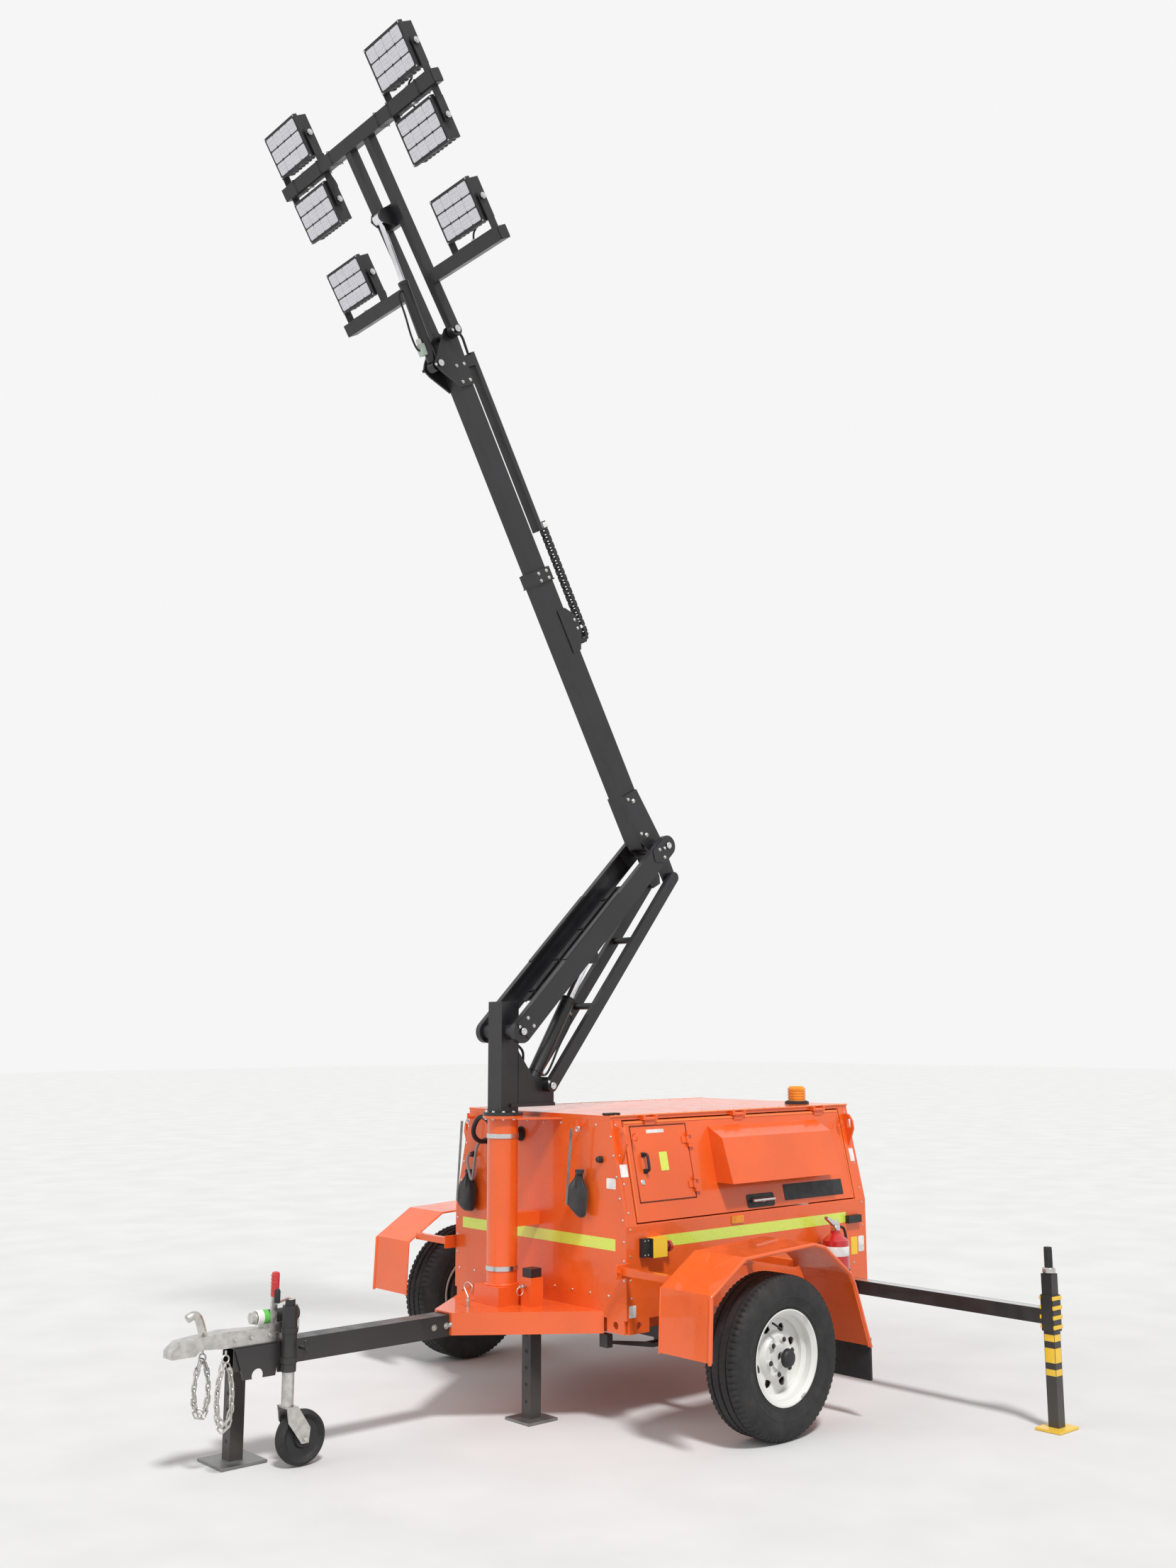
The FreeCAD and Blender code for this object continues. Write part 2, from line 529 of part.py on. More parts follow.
def stands():
    x, y = along(S.jockey_place), S.drawbar_square / 2 + 8 + S.jockey_tube
    fork_top = S.jockey_wheel_radius * 2 + 22
    leg = rod("z", (x, y, fork_top), S.jockey_top - 150 - fork_top, S.jockey_inner)
    node("jockey_leg", leg)
    hub_x = x - S.jockey_trail
    half = S.jockey_wheel_width / 2
    cheek = [
        (x + 22, fork_top - 0.3), (x - 26, fork_top - 0.3), (hub_x - 22, S.jockey_wheel_radius + 40),
        (hub_x - 16, S.jockey_wheel_radius - 16), (hub_x + 16, S.jockey_wheel_radius - 16),
        (x + 14, fork_top - 60),
    ]
    bridge = box(x - 26, x + 22, y - half - 12, y + half + 12, fork_top - 6.3, fork_top - 0.3)
    pin = rod("y", (hub_x, y - half - 12, S.jockey_wheel_radius), 2 * half + 24, 7)
    node("jockey_fork", fuse(prism("XZ", cheek, y + half + 6, 6), prism("XZ", cheek, y - half - 12, 6),
                             bridge, pin))
    r = S.jockey_wheel_radius
    tyre = [(7 + S.fit, half), (34, half), (40, half - 12), (r - 34, half - 12), (r - 16, half),
            (r - 4, half - 8), (r, 0)]
    tyre = tyre + [(a, -t) for a, t in reversed(tyre[:-1])]
    node("jockey_wheel", ring(tyre, "y", (hub_x, y, r)))

    for name, place, side, square, top, plate in (
        ("front_stand", S.stand_place, S.stand_y, S.stand_square, S.stand_top, 200),
        ("middle_leg", S.leg_place, S.leg_y, S.leg_square, S.leg_top, 165),
    ):
        x, half = along(place), square / 2
        foot = box(x - plate / 2, x + plate / 2, side - plate / 2, side + plate / 2, 0.0, S.foot_plate)
        column = box(x - half, x + half, side - half, side + half, S.foot_plate, top)
        node(name, fuse(foot, column))

    for name, place, side in (("left", S.rig_left, 1), ("right", S.rig_right, -1)):
        x, half = along(place), S.rig_square / 2
        inner = S.rig_sleeve_half - S.rig_overlap
        outer_end = S.rig_reach - S.rig_leg_square / 2 - S.sleeve_gap
        low = S.rig_height - half
        arm = box(x - half, x + half, min(side * inner, side * outer_end),
                  max(side * inner, side * outer_end),
                  low, low + S.rig_square)
        clamp_side = S.rig_leg_square + 2 * (S.sleeve_gap + S.sleeve_wall)
        clamp = square_tube("z", (x, side * S.rig_reach), S.rig_height - 60, S.rig_leg_sleeve,
                            clamp_side, S.sleeve_wall)
        node(name + "_outrigger_arm", fuse(arm, clamp))
        leg_half = S.rig_leg_square / 2
        leg = box(x - leg_half, x + leg_half, side * S.rig_reach - leg_half, side * S.rig_reach + leg_half,
                  S.foot_plate, S.rig_leg_top)
        foot = box(x - 75, x + 75, side * S.rig_reach - 60, side * S.rig_reach + 60, 0.0, S.foot_plate)
        grip = rod("z", (x, side * S.rig_reach, S.rig_leg_top), 110, 17)
        node(name + "_outrigger_leg", fuse(leg, foot, grip))


def hinge_line(side):
    """The y and z of a side door's hinge pins."""
    return sloped(side, S.door_top) + side * 9, S.door_top + 6


def canopy():
    x0, x1 = along(S.body_rear), along(S.body_front)
    half, top_half = S.body_half, S.roof_half
    knee, roof, low = S.knee_height, S.roof_height, S.sill_top
    wall = S.panel
    outline = [(-half, low), (half, low), (half, knee), (top_half, roof - wall - 0.3),
               (-top_half, roof - wall - 0.3), (-half, knee)]
    hooks = []
    for y in (S.near_bag_y, S.far_bag_y):
        hooks.append(box(x1 - 1, x1 + 34, y - 4, y + 4, S.hook_height - 12, S.hook_height))
        hooks.append(box(x1 + 26, x1 + 34, y - 4, y + 4, S.hook_height - 1, S.hook_height + 16))
    node("front_panel", fuse(prism("YZ", outline, x1 - wall, wall), hooks))
    rear = prism("YZ", outline, x0, wall)
    slots = []
    for n in range(9):
        z = knee + S.vent_low + S.vent_pitch * n
        slots.append(box(x0 - 1, x0 + wall + 1, -S.vent_half, S.vent_half, z, z + S.vent_tall))
    node("rear_panel", cut(rear, slots))
    inner0, inner1 = x0 + wall + 0.3, x1 - wall - 0.3
    for name, side in (("left", 1), ("right", -1)):
        sill = S.door_bottom - S.door_gap
        lower = [(side * half, low), (side * half, knee), (sloped(side, sill), sill),
                 (side * (half - S.ledge), sill),
                 (side * (half - S.ledge), knee - 2), (side * (half - wall), knee - 2),
                 (side * (half - wall), low)]
        upper = [(side * half, knee), (sloped(side, roof - wall - 0.3), roof - wall - 0.3),
                 (sloped(side, roof - wall - 0.3) - side * wall, roof - wall - 0.3),
                 (side * (half - wall), knee)]
        pieces = [
            prism("YZ", lower, inner0, inner1 - inner0),
            prism("YZ", upper, along(S.door_front) + S.door_gap, inner1 - along(S.door_front) - S.door_gap),
            prism("YZ", upper, inner0, along(S.door_rear) - S.door_gap - inner0),
        ]
        for x in (S.door_front + S.eye_inset, S.door_rear - S.eye_inset):
            z0, z1, reach = S.eye_plate_low, S.eye_plate_high, S.eye_reach
            plate = [(sloped(side, z0) - side, z0), (sloped(side, z1) - side, z1),
                     (sloped(side, z1) + side * (reach - 22), z1),
                     (sloped(side, z1) + side * reach, z1 - 30),
                     (sloped(side, z1 - 60) + side * (reach - 6), z1 - 70)]
            lug = prism("YZ", plate, along(x) - S.eye_thick / 2, S.eye_thick)
            mid = sloped(side, (S.eye_low + S.eye_high) / 2) + side * reach / 2
            eye = box(along(x) - S.eye_thick, along(x) + S.eye_thick, mid - 10, mid + 10, S.eye_low,
                      S.eye_high)
            pieces.append(cut(lug, eye))
        node(name + "_side_panel", fuse(pieces))
    top = [box(x0, x1, -top_half, top_half, roof - wall, roof)]
    wide = S.hinge_width / 2
    for side in (1, -1):
        y, z = hinge_line(side)
        for place in HINGES:
            x = along(place)
            top.append(rod("x", (x - wide - 15, y, z), 2 * (wide + 15), S.hinge_pin))
            for x_lug in (x - wide - 15, x + wide + 0.3):
                y_in, y_out = side * (top_half - 5), y + side * (S.hinge_pin + 4)
                top.append(box(x_lug, x_lug + 14.7, min(y_in, y_out), max(y_in, y_out), z - S.hinge_pin,
                               roof - 3))
    node("roof", fuse(top))


def sloped_rod(height, length, radius):
    """A bar along the control hatch's hinge, which leans inward with the door."""
    thing = doc.addObject("Part::Cylinder", "Rod")
    bind(thing, "Radius", radius)
    bind(thing, "Height", length)
    drop = float((S.body_half - S.roof_half) / (S.roof_height - S.knee_height))
    lean = Rotation(Vector(1, 0, 0), math.degrees(math.atan(drop)))
    return put(thing, (along(S.hatch_rear) + 7, sloped(1, height) + 8, height), lean)


def doors():
    x0, x1 = along(S.door_rear), along(S.door_front)
    for name, side in (("left", 1), ("right", -1)):
        low, top, thick = S.door_bottom, S.door_top, S.door_thick
        section = [(sloped(side, low), low), (sloped(side, top), top),
                   (sloped(side, top) - side * thick, top), (sloped(side, low) - side * thick, low)]
        panel = prism("YZ", section, x0, x1 - x0)
        h0, h1 = along(S.hood_rear), along(S.hood_front)
        bottom, peak, reach, wall = S.hood_bottom, S.hood_top, S.hood_reach, S.hood_wall
        outer_low = sloped(side, bottom) + side * reach
        outer_high = sloped(side, peak - 50) + side * (reach - 24)
        skin = [(sloped(side, bottom), bottom), (outer_low, bottom), (outer_high, peak - 50),
                (sloped(side, peak), peak)]
        hollow = [(sloped(side, bottom), bottom - 1), (outer_low - side * wall, bottom - 1),
                  (outer_high - side * wall, peak - 50 - wall),
                  (sloped(side, peak - wall * 3), peak - wall * 3)]
        hood = cut(prism("YZ", skin, h0, h1 - h0), prism("YZ", hollow, h0 + wall, h1 - h0 - 2 * wall))
        slots = []
        for n in range(5):
            z = bottom + 30 + 34 * n
            y_in, y_out = sloped(side, z) - side * 2 * thick, sloped(side, z) + side * 2 * thick
            slots.append(box(h0 + 60, h1 - 60, min(y_in, y_out), max(y_in, y_out), z, z + 16))
        panel = cut(panel, slots)
        y, z = hinge_line(side)
        wide = S.hinge_width / 2
        leaves, bores = [], []
        for place in HINGES:
            x = along(place)
            y_in = sloped(side, S.door_top) - side * 4
            leaves.append(rod("x", (x - wide, y, z), 2 * wide, S.hinge_knuckle))
            leaves.append(box(x - wide, x + wide, min(y, y_in), max(y, y_in), z - 26, z))
            bores.append(rod("x", (x - wide - 1, y, z), 2 * wide + 2, S.hinge_pin + S.fit))
        extra = []
        if side > 0:
            hole = box(along(S.hatch_rear) - 2, along(S.hatch_front) + 2, sloped(1, S.hatch_top) - 2 * thick,
                       sloped(1, S.hatch_bottom) + 2 * thick, S.hatch_bottom - 2, S.hatch_top + 2)
            panel = cut(panel, hole)
            for z0 in HATCH_HINGES:
                extra.append(sloped_rod(z0 - 12, 64, S.hatch_pin))
                for z1 in (z0 - 12, z0 + 40.3):
                    ear = [(sloped(1, z1) + 2, z1), (sloped(1, z1 + 11.7) + 2, z1 + 11.7),
                           (sloped(1, z1 + 11.7) + 15, z1 + 11.7), (sloped(1, z1) + 15, z1)]
                    extra.append(prism("YZ", ear, along(S.hatch_rear) - 22, 32.4))
                    root = [(sloped(1, z1) - 4, z1), (sloped(1, z1 + 11.7) - 4, z1 + 11.7),
                            (sloped(1, z1 + 11.7) + 4, z1 + 11.7), (sloped(1, z1) + 4, z1)]
                    extra.append(prism("YZ", root, along(S.hatch_rear) - 22, 19))
        node(name + "_door", fuse(cut(fuse(panel, leaves), bores), hood, extra))
    low, top, thick = S.hatch_bottom, S.hatch_top, S.hatch_thick
    section = [(sloped(1, low), low), (sloped(1, top), top), (sloped(1, top) - thick, top),
               (sloped(1, low) - thick, low)]
    knuckles, bores = [], []
    for z0 in HATCH_HINGES:
        knuckles.append(sloped_rod(z0 + 2.5, 35, S.hatch_knuckle))
        low_leaf, top_leaf = z0 + 6, z0 + 34
        leaf = [(sloped(1, low_leaf) - 2, low_leaf), (sloped(1, top_leaf) - 2, top_leaf),
                (sloped(1, top_leaf) + 5, top_leaf), (sloped(1, low_leaf) + 5, low_leaf)]
        knuckles.append(prism("YZ", leaf, along(S.hatch_rear) + 4, 36))
        bores.append(sloped_rod(z0 - 2, 44, S.hatch_pin + S.fit))
    flap = prism("YZ", section, along(S.hatch_rear), S.hatch_front - S.hatch_rear)
    node("control_hatch", cut(fuse(flap, knuckles), bores))
    board = [(sloped(1, low) - 44, low - 10), (sloped(1, top) - 44, top + 8),
             (sloped(1, top) - 90, top + 8), (sloped(1, low) - 120, low - 10)]
    panel = prism("YZ", board, along(S.hatch_rear) - 10, S.hatch_front - S.hatch_rear + 20)
    seat = S.door_bottom - S.door_gap + 0.3
    leg = box(along(S.hatch_rear) - 10, along(S.hatch_front) + 10, S.body_half - 88, S.body_half - 68, seat,
              low - 9)
    node("control_board", fuse(panel, leg))
    node("generator_set", box(along(S.engine_rear), along(S.engine_front), -S.engine_half, S.engine_half,
                              S.sill_top, S.sill_top + S.engine_rise))


def mudguards():
    profile = [(500, 385), (488, 640), (282, 768), (-150, 786), (-222, 768), (-392, 640), (-418, 596),
               (-520, 318)]
    pieces, flaps, stays = [], [], []
    for side in (1, -1):
        y0 = min(side * S.guard_inner, side * S.guard_outer)
        width = S.guard_outer - S.guard_inner
        outer = [(along(x), z) for x, z in profile]
        sheet_path = strip(profile, float(S.guard_sheet))
        lip_path = strip(profile, float(S.guard_lip))
        pieces.append(prism("XZ", [(along(x), z) for x, z in sheet_path], y0, width))
        lip_y = side * S.guard_outer - (8 if side > 0 else 0)
        pieces.append(prism("XZ", [(along(x), z) for x, z in lip_path], lip_y, 8))
        end = along(profile[-1][0])
        flaps.append(box(end - 4, end + 2, y0 + 4, y0 + width - 4, S.flap_low, S.flap_top))
        for x, z in ((430, 664), (-360, 650)):
            y_in = side * (S.body_half + 0.3)
            y_out = side * S.guard_inner
            wide = S.stay_square / 2
            stays.append(box(along(x) - wide, along(x) + wide, min(y_in, y_out), max(y_in, y_out), z - wide,
                             z + wide))
    node("mudguards", fuse(pieces, stays, flaps))


def strip(profile, thickness):
    """The outline of a sheet folded along a profile, its thickness on the inner side."""
    inner = []
    count = len(profile)
    for n, (x, z) in enumerate(profile):
        before = profile[max(n - 1, 0)]
        after = profile[min(n + 1, count - 1)]
        parts = []
        for a, b in ((before, (x, z)), ((x, z), after)):
            dx, dz = b[0] - a[0], b[1] - a[1]
            size = math.hypot(dx, dz)
            if size:
                parts.append((dz / size, -dx / size))
        nx = sum(p[0] for p in parts) / len(parts)
        nz = sum(p[1] for p in parts) / len(parts)
        size = nx * nx + nz * nz
        inner.append((x - nx / size * thickness, z - nz / size * thickness))
    return list(profile) + inner[::-1]


def fittings():
    """Beacon, tail lamps, marker lamps and the emergency stop: each a solid of one node."""
    bx, by, roof = along(S.beacon_place), S.beacon_y, S.roof_height + 0.3
    wide, narrow = S.beacon_radius, S.beacon_radius - 4
    dome = [(0, 0), (S.beacon_radius + 16, 0), (S.beacon_radius + 16, 12), (wide, 12)]
    for n in range(4):
        z = 12 + S.beacon_rib * (n + 1)
        dome += [(wide, z - 4), (narrow, z - 4), (narrow, z), (wide, z)]
    top = 12 + S.beacon_rib * 4
    dome += [(wide, top + 10), (wide - 12, top + 22), (0, top + 22)]
    beacon = ring(dome, "z", (bx, by, roof))
    ex, ey = along(S.bottle_place), S.body_half + S.bottle_stand_off
    low, high, radius = S.bottle_low, S.bottle_high, S.bottle_radius
    bottle = ring([(0, low), (radius - 4, low), (radius, low + 6), (radius, high - 46), (24, high - 14),
                   (24, high),
                   (0, high)], "z", (ex, ey, 0.0))
    valve = box(ex - 16, ex + 16, ey - 16, ey + 16, high - 1, high + 24)
    levers = prism("XZ",
                   [(ex - 20, high + 20), (ex + 16, high + 20), (ex + 70, high + 58), (ex + 66, high + 68),
                          (ex - 20, high + 34)], ey - 10, 20)
    strap = (low + high) / 2
    bracket = box(ex - radius - 3, ex + radius + 3, S.body_half + 0.3, ey - radius + 1, strap - 24,
                  strap + 36)
    node("fire_extinguisher", fuse(bottle, valve, levers, bracket))
    start, side = S.body_half + 0.3, S.body_half
    switch = [
        box(along(S.stop_place), along(S.stop_place) + 40, start, side + 28, S.stop_height - 39,
            S.stop_height + 39),
        box(along(S.stop_place) - 86, along(S.stop_place), start, side + 46, S.stop_height - 42,
            S.stop_height + 40),
        rod("x", (along(S.stop_place) - 106, side + 24, S.stop_height - 3), 20.5, 17),
        rod("x", (along(S.stop_place) - 120, side + 24, S.stop_height - 3), 14, 24),
    ]
    rear, front = along(S.marker_place) - S.marker_length, along(S.marker_place)
    lights = [box(rear, front, start, side + 24, S.marker_height - 18, S.marker_height + 18),
              box(rear, front, -side - 24, -start, S.marker_height - 18, S.marker_height + 18)]
    for hand in (1, -1):
        y0 = hand * S.tail_lamp_y - S.tail_lamp_half
        lights.append(box(along(TAIL), along(S.body_rear), y0, y0 + 2 * S.tail_lamp_half, S.tail_lamp_low,
                          S.tail_lamp_low + S.tail_lamp_tall))
    node("lights_and_switches", beacon, lights, fuse(switch))


def bags():
    """Two cloth bags that cover the supply plugs, each hung from a hook on the front panel."""
    front = along(S.body_front) + 0.3
    pieces = []
    for y, top in ((S.near_bag_y, S.near_bag_top), (S.far_bag_y, S.far_bag_top)):
        low = top - S.bag_length
        wide, neck = S.bag_width / 2, S.bag_width / 5
        outline = [(y - neck, top), (y - wide, top - 0.45 * S.bag_length), (y - wide, low + 40),
                   (y - wide + 30, low),
                   (y + wide - 30, low), (y + wide, low + 40), (y + wide, top - 0.45 * S.bag_length),
                   (y + neck, top)]
        pieces.append(prism("YZ", outline, front, S.bag_depth))
    node("plug_bags", pieces)


def mast_post():
    x = along(S.post_place)
    tube = rod("z", (x, 0.0, S.post_foot + 0.3), S.post_top - S.post_foot, S.post_radius)
    flange = rod("z", (x, 0.0, S.post_top), S.post_flange, S.post_flange_radius)
    base = box(x - 88, x + 88, -88.0, 88.0, S.post_foot + 0.3, S.post_foot + 80)
    tie = [(x - 20, -95.0), (x + 60, -40.0), (x + 60, 40.0), (x - 20, 95.0),
           (along(S.body_front) + 0.3, 190.0), (along(S.body_front) + 0.3, -190.0)]
    top = prism("XY", tie, S.roof_height - 26, 8)
    rear_tie = box(along(S.body_front) + 0.3, x, -30.0, 30.0, S.knee_height - 40, S.knee_height + 20)
    node("mast_post", fuse(tube, flange, base, top, rear_tie))


def lean_of(dx, dz):
    return math.degrees(math.atan2(float(dx), float(dz)))


ARM_FOOT = (along(S.post_place), 0.0, S.post_top + S.arm_pin_rise)
ELBOW = (ARM_FOOT[0] + S.arm_length * sine(S.arm_lean), 0.0, ARM_FOOT[2] + S.arm_length * cosine(S.arm_lean))
LINK_FOOT = (ARM_FOOT[0] - S.link_pin_back, 0.0, S.post_top + S.link_pin_rise)
TAIL_PIN = (
    ELBOW[0] - S.tail_back * sine(S.boom_lean) - S.tail_drop * cosine(S.boom_lean), 0.0,
    ELBOW[2] - S.tail_back * cosine(S.boom_lean) + S.tail_drop * sine(S.boom_lean),
)
LIFT_FOOT = (ARM_FOOT[0] - S.lift_pin_back, 0.0, S.post_top + S.lift_pin_rise)
LIFT_EYE = (
    ARM_FOOT[0] + S.lift_lug_along * sine(S.arm_lean) - S.lift_lug_drop * cosine(S.arm_lean), 0.0,
    ARM_FOOT[2] + S.lift_lug_along * cosine(S.arm_lean) + S.lift_lug_drop * sine(S.arm_lean),
)
HEAD = (
    ELBOW[0] + S.head_pin_along * sine(S.boom_lean) + S.head_pin_front * cosine(S.boom_lean), 0.0,
    ELBOW[2] + S.head_pin_along * cosine(S.boom_lean) - S.head_pin_front * sine(S.boom_lean),
)
TILT_FOOT = (
    ELBOW[0] + S.tilt_pin_along * sine(S.boom_lean) + S.tilt_pin_front * cosine(S.boom_lean), 0.0,
    ELBOW[2] + S.tilt_pin_along * cosine(S.boom_lean) - S.tilt_pin_front * sine(S.boom_lean),
)
TILT_EYE = (
    HEAD[0] + S.tilt_eye_height * sine(S.frame_lean) + S.tilt_eye_front * cosine(S.frame_lean), 0.0,
    HEAD[2] + S.tilt_eye_height * cosine(S.frame_lean) - S.tilt_eye_front * sine(S.frame_lean),
)


def turret():
    x = along(S.post_place)
    low = S.post_top + S.post_flange + S.slew_gap
    deck = low + S.slew_plate
    half = S.column_side / 2
    plate = rod("z", (x, 0.0, low), S.slew_plate, S.post_flange_radius)
    column = box(x - half, x + half, -half, half, deck - 1, S.post_top + S.column_rise)
    pin_z = ARM_FOOT[2]
    boss_y = S.arm_inner - S.side_gap
    boss = rod("y", (x, -boss_y, pin_z), 2 * boss_y, S.pin_radius + 22)
    reach = S.arm_inner + S.arm_thick + S.arm_doubler + S.pin_head
    pin = rod("y", (x, -reach, pin_z), 2 * reach, S.pin_radius)
    rear, outer = S.shelf_reach, S.cheek_inner + S.cheek_thick
    shelf = box(x - rear, x, -outer - 10, outer + 10, deck + 22, deck + 38)
    link_x, lift_x = LINK_FOOT[0], LIFT_FOOT[0]
    cheek = [(x - rear, deck + 30), (x - half + 1, deck + 30), (x - half + 1, pin_z - 90),
             (lift_x + 26, LIFT_FOOT[2] + 36), (link_x - 20, LINK_FOOT[2] + 38),
             (x - rear, LINK_FOOT[2] + 20)]
    cheeks = [prism("XZ", cheek, S.cheek_inner, S.cheek_thick), prism("XZ", cheek, -outer, S.cheek_thick)]
    stubs = []
    link_end = S.link_inner + S.link_thick + 5
    for side in (1, -1):
        y0 = outer - 1 if side > 0 else -link_end
        stubs.append(rod("y", (link_x, y0, LINK_FOOT[2]), link_end - outer + 1, S.pin_radius))
        y1 = outer - 1 if side > 0 else -(S.link_inner - S.side_gap)
        stubs.append(rod("y", (link_x, y1, LINK_FOOT[2]), S.link_inner - S.side_gap - outer + 1,
                         S.pin_radius + 12))
    lift_pin = rod("y", (lift_x, -outer + 1, LIFT_FOOT[2]), 2 * outer - 2, S.pin_radius)
    valve_y = S.cheek_inner - 6
    valve = box(x - half - 62, x - half + 1, -valve_y, valve_y, deck + 37, deck + 37 + S.valve_height)
    node("turret", fuse(plate, column, boss, pin, shelf, cheeks, stubs, lift_pin, valve))


def span(a, b):
    """The lean and length from one pin to another."""
    dx, dz = float(b[0]) - float(a[0]), float(b[2]) - float(a[2])
    return lean_of(dx, dz), math.hypot(dx, dz)


def lower_boom():
    depth, inner, thick = S.arm_depth / 2, S.arm_inner, S.arm_thick
    wall = S.arm_wall
    pieces, pockets = [], []
    for side in (1, -1):
        y0 = inner if side > 0 else -(inner + thick)
        pieces.append(box(-depth, depth, y0, y0 + thick, 0.0, S.arm_length))
        for z in (0.0, S.arm_length):
            pieces.append(rod("y", (0.0, y0, z), thick, depth))
        hollow = inner - 1 if side > 0 else -(inner + thick - wall)
        pockets.append(box(wall - depth, depth - wall, hollow, hollow + thick - wall + 1, S.arm_boss,
                           S.arm_length - S.arm_boss))
        y1 = inner + thick - 1 if side > 0 else -(inner + thick + S.arm_doubler)
        for z, out in ((0.0, 1), (S.arm_length, -1)):
            patch = [(-depth + 3, z), (-depth + 3, z + out * S.doubler_reach * 0.6),
                     (0, z + out * S.doubler_reach), (depth - 3, z + out * S.doubler_reach * 0.8),
                     (depth - 3, z)]
            pieces.append(prism("XZ", patch, y1, S.arm_doubler + 1))
        low = S.arm_length * 0.32
        pieces.append(box(-depth - S.arm_doubler, -depth + 1, y0 + 2, y0 + thick - 2, low,
                          S.arm_length * 0.68))
        pieces.append(box(depth - 1, depth + S.arm_doubler, y0 + 2, y0 + thick - 2, low,
                          S.arm_length * 0.68))
    web = box(-depth, S.arm_web - depth, -(inner + 1), inner + 1, S.web_start, S.arm_length - S.web_end)
    for y0 in (S.lug_inner, -S.lug_inner - S.lug_thick):
        drop, mid = S.lift_lug_drop, S.lift_lug_along
        lug = [(4 - depth, mid - 70), (4 - depth, mid + 70), (-drop - 10, mid + 28), (-drop - 24, mid + 10),
               (-drop - 24, mid - 10), (-drop - 10, mid - 28)]
        pieces.append(prism("XZ", lug, y0, S.lug_thick))
    body = fuse(cut(fuse(pieces), pockets), web)
    reach = inner + thick + 60
    holes = [rod("y", (0.0, -reach, z), 2 * reach, S.pin_radius + S.fit) for z in (0.0, S.arm_length)]
    node("lower_boom", cut(body, holes), at=ARM_FOOT, lean=S.arm_lean)


def tension_link():
    lean, length = span(LINK_FOOT, TAIL_PIN)
    half = S.link_depth / 2
    pieces = []
    for side in (1, -1):
        y0 = S.link_inner if side > 0 else -(S.link_inner + S.link_thick)
        pieces.append(box(-half, half, y0, y0 + S.link_thick, 0.0, length))
        for z in (0.0, length):
            pieces.append(rod("y", (0.0, y0, z), S.link_thick, half))
    for share in (0.36, 0.68):
        pieces.append(rod("y", (0.0, -(S.link_inner + 1), length * share), 2 * (S.link_inner + 1), 16))
    holes = [rod("y", (0.0, -200.0, 0.0), 400, S.pin_radius + S.fit)]
    node("tension_link", cut(fuse(pieces), holes), at=LINK_FOOT, lean=lean)


def cylinder(name, foot, eye, radius, rod_radius, barrel, overlap, width):
    """A hydraulic cylinder: a barrel with a foot eye, and a rod with its own eye."""
    lean, length = span(foot, eye)
    knuckle = S.pin_radius + 11
    tube = rod("z", (0.0, 0.0, knuckle - 4), barrel - knuckle + 4, radius)
    bore = rod("z", (0.0, 0.0, knuckle + 12), barrel, rod_radius + S.fit)
    foot_eye = rod("y", (0.0, -width / 2, 0.0), width, knuckle)
    hole = rod("y", (0.0, -60.0, 0.0), 120, S.pin_radius + S.fit)
    node(name + "_barrel", cut(fuse(tube, foot_eye), bore, hole), at=foot, lean=lean)
    start = barrel - overlap
    shaft = rod("z", (0.0, 0.0, start), length - start - knuckle + 6, rod_radius)
    rod_eye = rod("y", (0.0, -width / 2, length), width, knuckle)
    hole = rod("y", (0.0, -60.0, length), 120, S.pin_radius + 3)
    node(name + "_rod", cut(fuse(shaft, rod_eye), hole), at=foot, lean=lean)


def upper_boom():
    half, offset = S.boom_side / 2, S.boom_offset
    inner = S.fly_side / 2 + S.sleeve_gap
    tube = square_tube("z", (offset, 0), S.boom_start, S.boom_length - S.boom_start, S.boom_side,
                       S.boom_wall)
    collar = cut(box(offset - half - 6, offset + half + 6, -half - 6, half + 6, S.boom_length - 70,
                     S.boom_length - 2),
                 box(offset - half + 1, offset + half - 1, 1 - half, half - 1, S.boom_length - 80,
                     S.boom_length + 2))
    pad = cut(box(offset - half + 1, offset + half - 1, 1 - half, half - 1, S.boom_length - 76,
                  S.boom_length - 4),
              box(offset - inner, offset + inner, -inner, inner, S.boom_length - 80, S.boom_length))
    tail = []
    plate = [(-S.tail_drop - 44, -S.tail_back), (-S.tail_drop - 28, -S.tail_back - 36),
             (-S.tail_drop + 28, -S.tail_back - 36), (-S.tail_drop + 44, -S.tail_back), (44, -30),
             (offset + half, 60), (offset + half, 320), (offset - half, 320), (-48, 40), (-52, -40)]
    for y0 in (half, -half - S.tail_thick):
        tail.append(prism("XZ", plate, y0, S.tail_thick))
    heel_y = S.arm_inner - S.side_gap
    heel = rod("y", (0.0, -heel_y, 0.0), 2 * heel_y, S.pin_radius + 18)
    reach = S.arm_inner + S.arm_thick + S.arm_doubler + S.pin_head
    pin = rod("y", (0.0, -reach, 0.0), 2 * reach, S.pin_radius)
    low, high = S.stay_low, S.stay_low + S.stay_tall
    far = offset - half - S.chain_stand_off - S.chain_thick / 2
    stay = [box(far, offset - half + 1, -S.chain_width / 2, S.chain_width / 2, low, high)]
    gusset = [(offset, low - 90), (offset - half - 4, low - 90), (far, low), (far, high),
              (offset - half - 4, high + 60),
              (offset, high + 60)]
    for y0 in (half - 1, -half - S.stay_plate):
        stay.append(prism("XZ", gusset, y0, S.stay_plate + 1))
    body = fuse(tube, collar, pad, tail, heel, pin, stay)
    node("upper_boom", body, at=ELBOW, lean=S.boom_lean)


